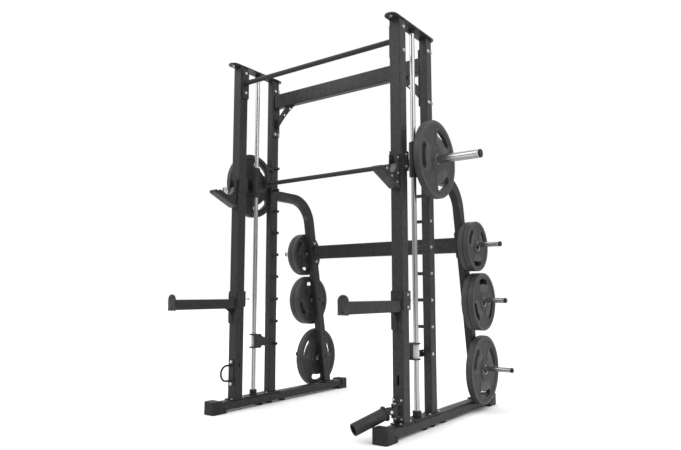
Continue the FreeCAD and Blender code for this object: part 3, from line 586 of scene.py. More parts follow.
@dataclass
class Turning:
    """A round piece turned about an axis, from a section of (along, radius) points."""

    name: str
    axis: Axis
    centre: Vector
    section: Section
    hollow: bool = False
    segments: int = 72
    rounding: float = 0.6 * MM

    def form(self) -> bmesh.types.BMesh:
        """The turned surface, with flat ends unless it is hollow."""
        form = bmesh.new()
        rings = []
        for along, radius in self.section:
            ring = []
            for step in range(self.segments):
                angle = 2 * math.pi * step / self.segments
                spot = (radius * math.cos(angle), radius * math.sin(angle), along)
                ring.append(form.verts.new(spot))
            rings.append(ring)
        pairs = list(zip(rings, rings[1:] + ([rings[0]] if self.hollow else [])))
        for low, high in pairs:
            for step in range(self.segments):
                after = (step + 1) % self.segments
                form.faces.new((low[step], low[after], high[after], high[step]))
        if not self.hollow:
            form.faces.new(list(reversed(rings[0])))
            form.faces.new(rings[-1])
        bmesh.ops.recalc_face_normals(form, faces=form.faces)
        bmesh.ops.transform(
            form, matrix=Matrix.Translation(self.centre) @ self.axis.turn(), verts=form.verts
        )
        return form

    def make(self) -> bpy.types.Object:
        """The finished object."""
        return round_edges(new_piece(self.name, self.form()), self.rounding, 2, 24.0)


def merge(name: str, parts: Sequence[bpy.types.Object]) -> bpy.types.Object:
    """Joins several finished objects into the first one."""
    form = bmesh.new()
    for part in parts:
        form.from_mesh(part.data)
        old = part.data
        bpy.data.objects.remove(part)
        bpy.data.meshes.remove(old)
    piece = new_piece(name, form)
    piece.data.set_sharp_from_angle(angle=math.radians(40))
    return piece


@dataclass
class Box:
    """The box round a solid of the frame, and the sizes that pieces take from it."""

    low: Vector
    high: Vector

    @classmethod
    def around(cls, spots: Sequence[Vector]) -> "Box":
        """The box round some points."""
        low = Vector(min(spot[i] for spot in spots) for i in range(3))
        high = Vector(max(spot[i] for spot in spots) for i in range(3))
        return cls(low, high)

    @classmethod
    def of_half(cls, node: str, side: Side) -> "Box":
        """The box round the part of a node on one side of the rack."""
        vertices = frame["nodes"][node].data.vertices
        return cls.around([spot.co for spot in vertices if spot.co.x * side.value > 0])

    @classmethod
    def of_solids(cls, node: str) -> list["Box"]:
        """The box round every solid in a node."""
        form = node_form(node)
        boxes = [cls.around(corners(group)) for group in islands(form)]
        form.free()
        return boxes

    def on_axis(self, axis: Axis) -> Vector:
        """The box's middle, with its coordinate along an axis set to zero."""
        middle = (self.low + self.high) / 2
        middle[axis.value] = 0.0
        return middle

    @property
    def radius(self) -> float:
        """Radius of a round solid that lies along X."""
        return (self.high.z - self.low.z) / 2

    @property
    def upright_radius(self) -> float:
        """Radius of a round solid that stands along Z."""
        return (self.high.x - self.low.x) / 2

    @property
    def ends(self) -> tuple[float, float, int]:
        """Inner end, outer end and outward sign along X, for a solid on one side of the rack."""
        if self.low.x > 0:
            return self.low.x, self.high.x, 1
        return self.high.x, self.low.x, -1


def corners(group: Iterable[bmesh.types.BMFace]) -> list[Vector]:
    """The places of the corners of some faces."""
    return [vertex.co for face in group for vertex in face.verts]


def groove(
    spot: float, radius: float, depth: float, floor: float, mouth: float
) -> Section:
    """Section points of a groove round a turned piece.

    Args:
        spot: where the groove's middle is along the axis.
        radius: the surface's radius.
        depth: how deep the groove is.
        floor: half the floor's width, less than zero where the section runs backwards.
        mouth: half the width at the surface, with the same sign.

    Returns:
        The groove's four points.
    """
    return [
        (spot - mouth, radius), (spot - floor, radius - depth),
        (spot + floor, radius - depth), (spot + mouth, radius),
    ]


# ---------------------------------------------------------------- geometry nodes
class Recipe:
    """A Geometry Nodes tree under construction."""

    def __init__(self, name: str) -> None:
        """Starts a tree with a geometry input and output."""
        self.tree = bpy.data.node_groups.new(name, "GeometryNodeTree")
        for way in ("INPUT", "OUTPUT"):
            self.tree.interface.new_socket(
                "Geometry", in_out=way, socket_type="NodeSocketGeometry"
            )
        self.entry = self.tree.nodes.new("NodeGroupInput")
        self.exit = self.tree.nodes.new("NodeGroupOutput")
        self.sizes: dict[str, str] = {}

    def size(self, name: str) -> bpy.types.NodeSocket:
        """A named number that the tree takes in."""
        made = self.tree.interface.new_socket(
            name, in_out="INPUT", socket_type="NodeSocketFloat"
        )
        self.sizes[name] = made.identifier
        return self.entry.outputs[name]

    def node(
        self,
        kind: str,
        settings: dict[str, object] | None = None,
        inputs: dict[object, object] | None = None,
        output: Union[int, str] = 0,
    ) -> bpy.types.NodeSocket:
        """Adds a node and hands back one output.

        Args:
            kind: the node's type name.
            settings: properties set before its sockets.
            inputs: values or sockets by name or index; a list joins several links.
            output: the socket to hand back.

        Returns:
            The output socket.
        """
        made = self.tree.nodes.new(kind)
        for key, value in (settings or {}).items():
            setattr(made, key, value)
        for key, value in (inputs or {}).items():
            for item in value if isinstance(value, list) else [value]:
                if isinstance(item, bpy.types.NodeSocket):
                    self.tree.links.new(item, made.inputs[key])
                else:
                    made.inputs[key].default_value = item
        return made.outputs[output]

    def product(self, first: bpy.types.NodeSocket, second: float) -> bpy.types.NodeSocket:
        """A number of the tree times a plain one."""
        return self.node("ShaderNodeMath", {"operation": "MULTIPLY"}, {0: first, 1: second})

    def attribute(self, name: str, kind: str) -> bpy.types.NodeSocket:
        """A value stored on the points."""
        return self.node("GeometryNodeInputNamedAttribute", {"data_type": kind}, {"Name": name})

    def cylinder(
        self, count: int, radius: Union[float, bpy.types.NodeSocket],
        depth: Union[float, bpy.types.NodeSocket],
    ) -> bpy.types.NodeSocket:
        """A closed cylinder about Z, centred."""
        return self.node(
            "GeometryNodeMeshCylinder", {"fill_type": "NGON"},
            {"Vertices": count, "Radius": radius, "Depth": depth},
        )

    def lift(
        self, shape: bpy.types.NodeSocket, height: Union[float, bpy.types.NodeSocket]
    ) -> bpy.types.NodeSocket:
        """A shape moved up along Z."""
        shift = self.node("ShaderNodeCombineXYZ", inputs={"Z": height})
        return self.node(
            "GeometryNodeTransform", inputs={"Geometry": shape, "Translation": shift}
        )

    def end(self, geometry: bpy.types.NodeSocket, material: bpy.types.Material) -> None:
        """Realizes the instances, sets the material and closes the tree."""
        real = self.node("GeometryNodeRealizeInstances", inputs={"Geometry": geometry})
        dressed = self.node(
            "GeometryNodeSetMaterial", inputs={"Geometry": real, "Material": material}
        )
        self.tree.links.new(dressed, self.exit.inputs["Geometry"])

    def run(self, piece: bpy.types.Object, values: dict[str, object]) -> bpy.types.Object:
        """Runs the tree on a piece and leaves a plain mesh.

        Args:
            piece: the object whose mesh feeds the tree.
            values: the tree's named inputs.

        Returns:
            The same object with the result as its mesh.
        """
        modifier = piece.modifiers.new(self.tree.name, "NODES")
        modifier.node_group = self.tree
        for name, value in values.items():
            modifier[self.sizes[name]] = value
        return settle(piece)


@dataclass
class BoltField:
    """Hexagon bolts with washers, one on each solid of a bolt node.

    The shape's sizes are in shares of the bolt's radius.
    """

    node: str
    head: float = 0.62
    head_lift: float = 0.72
    crown: float = 0.10
    crown_radius: float = 0.70
    crown_lift: float = 1.22
    washer: float = 0.16
    washer_radius: float = 1.18
    finish: Finish = ZINC

    def seats(self) -> tuple[list[Vector], list[Vector], list[float]]:
        """Foot, direction and radius of every bolt in the node."""
        form = node_form(self.node)
        feet, aims, sizes = [], [], []
        for group in islands(form):
            areas: dict[tuple[int, int], float] = {}
            for face in group:
                for index in range(3):
                    if abs(face.normal[index]) > 0.99:
                        key = (index, 1 if face.normal[index] > 0 else -1)
                        areas[key] = areas.get(key, 0.0) + face.calc_area()
            index, sign = max(areas, key=lambda key: areas[key])
            box = Box.around(corners(group))
            foot = (box.low + box.high) / 2
            foot[index] = box.high[index] if sign > 0 else box.low[index]
            aim = Vector((0.0, 0.0, 0.0))
            aim[index] = -sign
            across = [(box.high - box.low)[i] for i in range(3) if i != index]
            feet.append(foot)
            aims.append(aim)
            sizes.append(max(across) / 2)
        form.free()
        return feet, aims, sizes

    def recipe(self) -> Recipe:
        """A hexagon head, a domed crown and a washer on every point."""
        recipe = Recipe("bolt_head_" + self.node)
        height = recipe.size("Head Height")
        washer = recipe.size("Washer Radius")
        head = recipe.cylinder(6, 1.0, height)
        head = recipe.lift(head, recipe.product(height, self.head_lift))
        crown = recipe.cylinder(24, self.crown_radius, self.crown)
        crown = recipe.lift(crown, recipe.product(height, self.crown_lift))
        ring = recipe.lift(recipe.cylinder(32, washer, self.washer), self.washer / 2)
        bolt = recipe.node("GeometryNodeJoinGeometry", inputs={"Geometry": [head, crown, ring]})
        aim = recipe.attribute("aim", "FLOAT_VECTOR")
        turn = recipe.node("FunctionNodeAlignRotationToVector", {"axis": "Z"}, {"Vector": aim})
        spread = recipe.node(
            "GeometryNodeInstanceOnPoints",
            inputs={
                "Points": recipe.entry.outputs["Geometry"], "Instance": bolt,
                "Rotation": turn, "Scale": recipe.attribute("size", "FLOAT"),
            },
        )
        recipe.end(spread, self.finish.ready())
        return recipe

    def make(self) -> bpy.types.Object:
        """The finished bolts, standing for their node."""
        feet, aims, sizes = self.seats()
        mesh = bpy.data.meshes.new(self.node + "_heads")
        mesh.from_pydata(feet, [], [])
        aim = mesh.attributes.new("aim", "FLOAT_VECTOR", "POINT")
        aim.data.foreach_set("vector", [part for vector in aims for part in vector])
        size = mesh.attributes.new("size", "FLOAT", "POINT")
        size.data.foreach_set("value", sizes)
        piece = bpy.data.objects.new(self.node + "_heads", mesh)
        bpy.context.scene.collection.objects.link(piece)
        self.recipe().run(piece, {"Head Height": self.head, "Washer Radius": self.washer_radius})
        round_edges(piece, 0.5 * MM, 1, 30.0)
        seat(piece, [self.node], self.finish)
        return piece


# ---------------------------------------------------------------- sub-assemblies
class SubAssembly(ABC):
    """A group of pieces that is built and dressed together."""

    @abstractmethod
    def build(self) -> None:
        """Builds, dresses and seats every piece."""


@dataclass
class SteelFrame(SubAssembly):
    """Cut and folded steel: tubes, plates, cups and arms with softened edges."""

    rounding: float = 0.8 * MM
    fine: float = 0.5 * MM
    tubes: tuple[str, ...] = (
        "base_rails", "front_upright_left", "front_upright_right", "rear_uprights",
        "rear_top_beam", "lower_cross_beam", "storage_arms", "spotter_arm_left",
        "spotter_arm_right",
    )
    plates: tuple[str, ...] = (
        "foot_plates", "top_plates", "pull_up_flanges", "beam_flanges", "corner_gussets",
        "arm_end_plates", "j_cups", "post_clamps", "safety_stop_left", "safety_stop_right",
        "landmine_bracket", "landmine_swivel", "bar_housings", "ring_handle", "bar_hooks",
    )

    def build(self) -> None:
        """Copies each node, softens its edges and coats it."""
        for node in self.tubes:
            self.soften(node, self.fine)
        for node in self.plates:
            self.soften(node, self.rounding)

    def soften(self, node: str, width: float) -> None:
        """One coated steel piece that stands for its node."""
        piece = round_edges(new_piece(node + "_coated", node_form(node)), width)
        seat(piece, [node], FRAME_PAINT)


@dataclass
class Mouldings(SubAssembly):
    """Plastic feet, pads, liners and bushes."""

    rounding: float = 1.6 * MM
    foot_rounding: float = 4.5 * MM
    black: tuple[str, ...] = ("front_feet", "rear_feet")
    rubber: tuple[str, ...] = ("rail_pads",)
    pale: tuple[str, ...] = ("stop_bush_left", "stop_bush_right")
    liners: tuple[str, ...] = ("j_cup_liners",)

    def build(self) -> None:
        """Softens every moulding in its own plastic."""
        for nodes, finish, width in (
            (self.black, BLACK_PLASTIC, self.foot_rounding),
            (self.rubber, SOFT_RUBBER, self.rounding), (self.pale, PALE_PLASTIC, self.rounding),
            (self.liners, GREY_PLASTIC, self.rounding),
        ):
            for node in nodes:
                piece = round_edges(new_piece(node + "_moulded", node_form(node)), width, 3)
                seat(piece, [node], finish)


@dataclass
class GuideRods(SubAssembly):
    """Chromed rods with their rubber buffers and sockets."""

    bore_play: float = 1.002
    waist: tuple[tuple[float, float], ...] = (
        (10.0 * MM, 1.0), (12.0 * MM, 0.93), (16.0 * MM, 0.93), (18.0 * MM, 1.0),
    )
    crown: tuple[tuple[float, float], ...] = (
        (6.0 * MM, 0.0), (2.0 * MM, 2.0 * MM), (0.0, 7.0 * MM),
    )
    socket_lead: float = 2.0 * MM

    def build(self) -> None:
        """Turns rods, buffers and sockets on both sides."""
        rods, buffers, sockets = [], [], []
        for side in Side:
            rod = Box.of_half("guide_rods", side)
            centre, radius = rod.on_axis(Axis.Z), rod.upright_radius
            ends = [(rod.low.z, radius), (rod.high.z, radius)]
            rods.append(Turning("rod", Axis.Z, centre, ends, segments=96).make())
            bore = radius * self.bore_play
            buffers.append(self.buffer(Box.of_half("rod_buffers", side), centre, bore))
            sockets.append(self.socket(Box.of_half("rod_sockets", side), centre, bore))
        seat(merge("guide_rods_polished", rods), ["guide_rods"], ROD_CHROME)
        seat(merge("rod_buffers_turned", buffers), ["rod_buffers"], SOFT_RUBBER)
        seat(merge("rod_sockets_turned", sockets), ["rod_sockets"], FRAME_PAINT)

    def buffer(self, box: Box, centre: Vector, bore: float) -> bpy.types.Object:
        """Rubber buffer with a waist near its foot and a rounded top."""
        out, foot, top = box.upright_radius, box.low.z, box.high.z
        section = [(foot, bore), (foot, out)]
        section += [(foot + rise, out * share) for rise, share in self.waist]
        section += [(top - drop, out - inset) for drop, inset in self.crown]
        section.append((top, bore))
        return Turning("buffer", Axis.Z, centre, section, hollow=True).make()

    def socket(self, box: Box, centre: Vector, bore: float) -> bpy.types.Object:
        """Socket at a rod's end, with a lead round its foot."""
        out, foot, top, lead = box.upright_radius, box.low.z, box.high.z, self.socket_lead
        section = [
            (foot, bore), (foot, out - lead), (foot + lead, out), (top, out), (top, bore),
        ]
        return Turning("socket", Axis.Z, centre, section, hollow=True).make()


@dataclass
class Carriages(SubAssembly):
    """Sliding tubes with their linear bearings."""

    lip: float = 6.0 * MM
    lip_share: float = 0.3
    rod_gap: float = 1.2 * MM
    mouth_depth: float = 12.0 * MM

    def build(self) -> None:
        """Turns the tubes and dresses the bearings in them."""
        tubes = [self.tube(side) for side in Side]
        seat(merge("carriage_tubes_coated", tubes), ["carriage_tubes"], BAR_PAINT)
        BEARING_STEEL.fill_slots("linear_bearings")

    def tube(self, side: Side) -> bpy.types.Object:
        """One tube with rounded lips."""
        box = Box.of_half("carriage_tubes", side)
        foot, top, out = box.low.z, box.high.z, box.upright_radius
        mouth = Box.of_half("guide_rods", side).upright_radius + self.rod_gap
        lip, bow = self.lip, self.lip_share * self.lip
        return Turning("tube", Axis.Z, box.on_axis(Axis.Z), [
            (foot, mouth), (foot, out - lip), (foot + bow, out - bow), (foot + lip, out),
            (top - lip, out), (top - bow, out - bow), (top, out - lip), (top, mouth),
            (top - self.mouth_depth, mouth), (foot + self.mouth_depth, mouth),
        ], hollow=True).make()


@dataclass
class Barbell(SubAssembly):
    """The guided bar with its sleeves, collars and caps."""

    ring_spots: tuple[float, ...] = (-0.455, -0.405, -0.13, 0.13, 0.405, 0.455)
    ring_depth: float = 0.6 * MM
    ring_floor: float = 2.5 * MM
    ring_mouth: float = 3.0 * MM
    relief_depth: float = 0.6 * MM
    relief_length: float = 40.0 * MM
    stop_spots: tuple[float, ...] = (30.0 * MM, 18.0 * MM)
    stop_depth: float = 0.9 * MM
    stop_floor: float = 1.4 * MM
    stop_mouth: float = 2.2 * MM
    tip_length: float = 3.0 * MM
    tip_depth: float = 1.6 * MM

    def build(self) -> None:
        """Turns the bar and both ends."""
        box = Box(*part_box("smith_bar"))
        centre = box.on_axis(Axis.X)
        marks: Section = [(box.low.x, box.radius)]
        for spot in self.ring_spots:
            marks += groove(spot, box.radius, self.ring_depth, self.ring_floor, self.ring_mouth)
        marks.append((box.high.x, box.radius))
        bar = Turning("smith_bar_turned", Axis.X, centre, marks, rounding=0.2 * MM).make()
        seat(bar, ["smith_bar"], BAR_PAINT)
        sleeves, collars, caps = [], [], []
        for side in Side:
            sleeves.append(self.sleeve(side))
            collars.append(self.collar(side))
            caps.append(self.cap(side, centre))
        seat(merge("bar_sleeves_turned", sleeves), ["bar_sleeves"], ROD_CHROME)
        seat(merge("sleeve_collars_turned", collars), ["sleeve_collars"], FRAME_PAINT)
        seat(merge("sleeve_caps_moulded", caps), ["sleeve_caps"], BLACK_PLASTIC)

    def sleeve(self, side: Side) -> bpy.types.Object:
        """Plated sleeve, relieved at its inner end, with two shallow grooves near its tip."""
        box = Box.of_half("bar_sleeves", side)
        radius = box.radius
        start, end, step = box.ends
        relief, waist = start + step * self.relief_length, radius - self.relief_depth
        section = [(start, waist), (relief, waist), (relief, radius)]
        for back in self.stop_spots:
            section += groove(
                end - step * back, radius, self.stop_depth,
                step * self.stop_floor, step * self.stop_mouth,
            )
        section += [(end - step * self.tip_length, radius), (end, radius - self.tip_depth)]
        spot = box.on_axis(Axis.X)
        return Turning("sleeve", Axis.X, spot, section, segments=96, rounding=0.3 * MM).make()

    @staticmethod
    def collar(side: Side) -> bpy.types.Object:
        """Stepped flange at the inner end of the sleeve."""
        box = Box.of_half("sleeve_collars", side)
        radius, wide = box.radius, box.high.x - box.low.x
        inner, outer, step = box.ends
        section = [
            (inner, 0.62 * radius), (inner + step * 0.35 * wide, 0.66 * radius),
            (inner + step * 0.45 * wide, radius - 4.0 * MM), (inner + step * 0.55 * wide, radius),
            (outer - step * 0.1 * wide, radius), (outer, radius - 2.0 * MM),
        ]
        return Turning("collar", Axis.X, box.on_axis(Axis.X), section).make()

    @staticmethod
    def cap(side: Side, centre: Vector) -> bpy.types.Object:
        """Moulded end cap with a dished face, on the bar's axis."""
        box = Box.of_half("sleeve_caps", side)
        radius = box.radius
        inner, outer, step = box.ends
        section = [
            (inner, radius), (outer - step * 4.0 * MM, radius),
            (outer - step * 1.0 * MM, radius - 1.5 * MM), (outer, radius - 5.0 * MM),
            (outer, radius * 0.70), (outer - step * 1.5 * MM, radius * 0.62),
        ]
        return Turning("cap", Axis.X, centre, section).make()


@dataclass
class StoragePins(SubAssembly):
    """Plated storage pins with stop collars and caps, three on each side."""

    pin_radius: float = 16.0
    collar_radius: float = 30.0
    collar_length: float = 18.0 * MM
    chamfer: float = 3.0 * MM

    def build(self) -> None:
        """Turns every pin and cap found in the nodes."""
        pins = [self.pin(box) for box in Box.of_solids("storage_pins")]
        caps = [self.cap(box) for box in Box.of_solids("pin_caps")]
        seat(merge("storage_pins_plated", pins), ["storage_pins"], ROD_CHROME)
        seat(merge("pin_caps_moulded", caps), ["pin_caps"], BLACK_PLASTIC)

    def pin(self, box: Box) -> bpy.types.Object:
        """One pin with its stepped collar."""
        inner, outer, step = box.ends
        big, edge = box.radius, self.chamfer
        small = big * self.pin_radius / self.collar_radius
        shoulder = inner + step * self.collar_length
        section = [
            (inner, big * 0.92), (inner + step * edge, big), (shoulder - step * edge, big),
            (shoulder, big - edge), (shoulder, small + 4.0 * MM),
            (shoulder + step * edge, small), (outer, small),
        ]
        return Turning("pin", Axis.X, box.on_axis(Axis.X), section, rounding=0.4 * MM).make()

    @staticmethod
    def cap(box: Box) -> bpy.types.Object:
        """One domed cap."""
        inner, outer, step = box.ends
        radius = box.radius
        section = [
            (inner, radius), (outer - step * 5.0 * MM, radius),
            (outer - step * 1.5 * MM, radius - 2.0 * MM), (outer, radius - 6.0 * MM),
            (outer, radius * 0.5),
        ]
        return Turning("cap", Axis.X, box.on_axis(Axis.X), section).make()


@dataclass
class Pegs(SubAssembly):
    """Lockout pegs with a chamfered end and a weld bead at the post."""

    chamfer: float = 2.0 * MM
    bead: tuple[tuple[float, float], ...] = ((4.0 * MM, 0.0), (2.0 * MM, 1.0 * MM), (0.0, 2.5 * MM))

    def build(self) -> None:
        """Turns every peg found in the node."""
        pegs = []
        for box in Box.of_solids("lockout_pegs"):
            tip, root, step = box.ends
            section = [(tip, box.radius - self.chamfer), (tip + step * self.chamfer, box.radius)]
            section += [(root - step * back, box.radius + rise) for back, rise in self.bead]
            centre = box.on_axis(Axis.X)
            pegs.append(Turning("peg", Axis.X, centre, section, segments=40).make())
        seat(merge("lockout_pegs_turned", pegs), ["lockout_pegs"], BAR_PAINT)


@dataclass
class PullUpBar(SubAssembly):
    """Round bar between the front posts."""

    bead: tuple[tuple[float, float], ...] = ((0.0, 2.0 * MM), (2.0 * MM, 1.5 * MM), (4.0 * MM, 0.0))

    def build(self) -> None:
        """Turns the bar, with weld beads at its flanges."""
        box = Box(*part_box("pull_up_bar"))
        section = [(box.low.x + along, box.radius + rise) for along, rise in self.bead]
        section += [(box.high.x - along, box.radius + rise) for along, rise in reversed(self.bead)]
        centre = box.on_axis(Axis.X)
        bar = Turning("pull_up_bar_turned", Axis.X, centre, section, rounding=0.3 * MM).make()
        seat(bar, ["pull_up_bar"], FRAME_PAINT)


class Gap(Enum):
    """How a line from a plate's axis passes its grips."""

    OUTSIDE = -1
    TIP = 0
    INSIDE = 1


def flat(points: Iterable[tuple[float, float]]) -> list[tuple[float, float]]:
    """Turns points of (radius, degrees) into flat ones."""
    return [
        (radius * math.cos(math.radians(angle)), radius * math.sin(math.radians(angle)))
        for radius, angle in points
    ]


@dataclass
class GripPlate:
    """A three-grip weight plate about the X axis, in its own centred coordinates."""

    radius: float
    thickness: float
    grips: tuple[float, ...]
    bore: float = 25.4 * MM
    half_angle: float = 20.0
    grip_low: float = 0.62
    grip_high: float = 0.80
    hub_share: float = 0.30
    hub_groove: tuple[tuple[float, float], ...] = (
        (0.0, 4.0 * MM), (1.4 * MM, 5.0 * MM), (1.4 * MM, 7.0 * MM), (0.0, 8.0 * MM),
    )
    rim_share: float = 0.13
    rim_round: tuple[tuple[float, float], ...] = (
        (0.0, 4.0 * MM), (1.6 * MM, 1.2 * MM), (5.0 * MM, 0.0),
    )
    recess_share: float = 0.16
    pad_height: float = 1.8 * MM
    pad_margin: float = 0.012

    def angles(self) -> list[float]:
        """Angular lines that meet the ends of every grip, in degrees."""
        lines: set[float] = set()
        middle = (self.grip_low + self.grip_high) / 2
        cap = math.degrees((self.grip_high - self.grip_low) / 2 / middle)
        for grip in self.grips:
            for part in range(-8, 9):
                lines.add(round((grip + self.half_angle * part / 8) % 360, 4))
            for sign in (-1, 1):
                for part in range(1, 6):
                    offset = self.half_angle + cap * math.sin(math.pi / 2 * part / 5)
                    lines.add(round((grip + sign * offset) % 360, 4))
        gaps = sorted(lines)
        for first, second in zip(gaps, gaps[1:] + [gaps[0] + 360]):
            count = int((second - first) / 3.6)
            for part in range(1, count + 1):
                lines.add(round((first + (second - first) * part / (count + 1)) % 360, 4))
        return sorted(lines)

    def opening(self, angle: float) -> tuple[float, float, Gap]:
        """Lower and upper edge of the grip row at an angle, and how the angle meets a grip."""
        low, high = self.grip_low * self.radius, self.grip_high * self.radius
        middle, half = (low + high) / 2, (high - low) / 2
        cap = math.degrees(half / middle)
        for grip in self.grips:
            off = abs((angle - grip + 180) % 360 - 180)
            if off <= self.half_angle + 1e-3:
                return low, high, Gap.INSIDE
            if off < self.half_angle + cap - 1e-2:
                reach = half * math.sqrt(max(0.0, 1 - ((off - self.half_angle) / cap) ** 2))
                return middle - reach, middle + reach, Gap.INSIDE
            if off <= self.half_angle + cap + 1e-2:
                return middle, middle, Gap.TIP
        return low, high, Gap.OUTSIDE

    def make(self, name: str, place: Vector, inner_x: float, step: int) -> bpy.types.Object:
        """Builds the plate.

        Args:
            name: the object's name.
            place: a point on the plate's axis.
            inner_x: X of the face nearest the rack.
            step: outward sign along X.

        Returns:
            The finished object.
        """
        size, wide = self.radius, self.thickness
        recess = self.recess_share * wide
        hub, rim = self.hub_share * size, self.rim_share * size
        bush = self.bore + BUSH_WALL
        face: list[tuple[float, float | None]] = [(0.0, bush)]
        face += [(depth, bush + out) for depth, out in self.hub_groove]
        face += [
            (0.0, hub), (recess, hub + recess), (recess, None), (recess, None),
            (recess, size - rim - recess), (0.0, size - rim),
        ]
        face += [(depth, size - inset) for depth, inset in self.rim_round]
        lines = self.angles()
        gap = [radius for _, radius in face].index(None)
        form = bmesh.new()
        columns = []
        for angle in lines:
            low, high, _ = self.opening(angle)
            turn = math.radians(angle)
            column = []
            for back in (False, True):
                fills = iter((low, high))
                row = []
                for depth, radius in face:
                    radius = next(fills) if radius is None else radius
                    x = inner_x + step * (wide - depth if back else depth)
                    row.append(form.verts.new((
                        x, place.y + radius * math.cos(turn), place.z + radius * math.sin(turn)
                    )))
                column.append(row)
            columns.append(column)
        for index, column in enumerate(columns):
            after = columns[(index + 1) % len(columns)]
            gaps = [self.opening(lines[spot % len(columns)])[2] for spot in (index, index + 1)]
            hollow = Gap.INSIDE in gaps and Gap.OUTSIDE not in gaps
            for back in (0, 1):
                for row in range(len(face) - 1):
                    if row == gap and hollow:
                        continue
                    self._quad(form, column[back], after[back], row, row + 1, bool(back))
            form.faces.new((column[0][-1], after[0][-1], after[1][-1], column[1][-1]))
            form.faces.new((column[0][0], column[1][0], after[1][0], after[0][0]))
            if hollow:
                form.faces.new((column[0][gap], after[0][gap], after[1][gap], column[1][gap]))
                form.faces.new((
                    column[0][gap + 1], column[1][gap + 1], after[1][gap + 1], after[0][gap + 1],
                ))
        bmesh.ops.remove_doubles(form, verts=form.verts, dist=1e-6)
        bmesh.ops.dissolve_degenerate(form, edges=form.edges, dist=1e-6)
        bmesh.ops.recalc_face_normals(form, faces=form.faces)
        disc = round_edges(new_piece(name, form), 2.2 * MM, 3, 38.0)
        return merge(name, [disc, self.pads(place, inner_x, step)])

    def pads(self, place: Vector, inner_x: float, step: int) -> bpy.types.Object:
        """Raised pads round every grip, on both faces.

        Args:
            place: a point on the plate's axis.
            inner_x: X of the face nearest the rack.
            step: outward sign along X.

        Returns:
            The pads as one finished object.
        """
        recess = self.recess_share * self.thickness
        form = bmesh.new()
        for grip in self.grips:
            for back in (False, True):
                tops = (recess - self.pad_height, recess + 1.0 * MM)
                depths = [self.thickness - top if back else top for top in tops]
                self._pad(form, grip, place, [inner_x + step * depth for depth in depths])
        bmesh.ops.recalc_face_normals(form, faces=form.faces)
        return round_edges(new_piece("pads", form), 0.9 * MM, 2, 30.0)

    def _pad(
        self, form: bmesh.types.BMesh, grip: float, place: Vector, levels: Sequence[float]
    ) -> None:
        """One pad with the grip's opening through it, between two levels along X."""
        middle = (self.grip_low + self.grip_high) / 2
        inner = self._ray_line(self._slot_outline(), middle)
        outer = self._ray_line(self._pad_outline(), middle)
        turn = math.radians(grip)
        loops = []
        for level in levels:
            for line in (inner, outer):
                loop = []
                for along, across in line:
                    y = self.radius * (along * math.cos(turn) - across * math.sin(turn))
                    z = self.radius * (along * math.sin(turn) + across * math.cos(turn))
                    loop.append(form.verts.new((level, place.y + y, place.z + z)))
                loops.append(loop)
        for first, second in ((0, 1), (1, 3), (3, 2), (2, 0)):
            for index in range(len(inner)):
                after = (index + 1) % len(inner)
                form.faces.new((
                    loops[first][index], loops[first][after],
                    loops[second][after], loops[second][index],
                ))

    def _slot_outline(self) -> list[tuple[float, float]]:
        """Outline of the pad's opening on the first axis, in plate radii, a margin off the grip."""
        low, high = self.grip_low - self.pad_margin, self.grip_high + self.pad_margin
        middle, half = (low + high) / 2, (high - low) / 2
        cap = math.degrees(half / middle)
        points = [(low, part * self.half_angle / 8) for part in range(-8, 9)]
        for part in range(1, 12):
            swing = math.pi * part / 12
            angle = self.half_angle + cap * math.sin(swing)
            points.append((middle - half * math.cos(swing), angle))
        points += [(high, -part * self.half_angle / 8) for part in range(-8, 9)]
        for part in range(1, 12):
            swing = math.pi * part / 12
            angle = -self.half_angle - cap * math.sin(swing)
            points.append((middle + half * math.cos(swing), angle))
        return flat(points)

    @staticmethod
    def _pad_outline() -> list[tuple[float, float]]:
        """Outline of a pad on the first axis, in plate radii: wide inside, arched outside."""
        points = [(0.42, -40.0), (0.42, 40.0), (0.74, 33.0)]
        points += [(0.835, 31.0 - 62.0 * part / 14) for part in range(15)]
        points.append((0.74, -33.0))
        return flat(points)

    @staticmethod
    def _ray_line(
        outline: Sequence[tuple[float, float]], middle: float, count: int = 72
    ) -> list[tuple[float, float]]:
        """Points where even rays from a grip's middle meet a closed outline.

        Args:
            outline: corners of the closed line, in plate radii.
            middle: distance of the grip's middle from the plate's axis.
            count: how many rays.

        Returns:
            One point for each ray.
        """
        found = []
        for ray in range(count):
            angle = 2 * math.pi * ray / count
            aim = Vector((math.cos(angle), math.sin(angle)))
            best = 0.0
            for first, second in zip(outline, list(outline[1:]) + [outline[0]]):
                start = Vector((first[0] - middle, first[1]))
                side = Vector(second) - Vector(first)
                cross = aim.x * side.y - aim.y * side.x
                if abs(cross) < 1e-12:
                    continue
                reach = (start.x * side.y - start.y * side.x) / cross
                share = (start.x * aim.y - start.y * aim.x) / cross
                if -1e-6 <= share <= 1 + 1e-6:
                    best = max(best, reach)
            found.append((middle + best * aim.x, best * aim.y))
        return found

    @staticmethod
    def _quad(
        form: bmesh.types.BMesh, here: list[bmesh.types.BMVert],
        there: list[bmesh.types.BMVert], low: int, high: int, back: bool,
    ) -> None:
        """One face between two angular lines."""
        loop = [here[low], here[high], there[high], there[low]]
        form.faces.new(list(reversed(loop)) if back else loop)


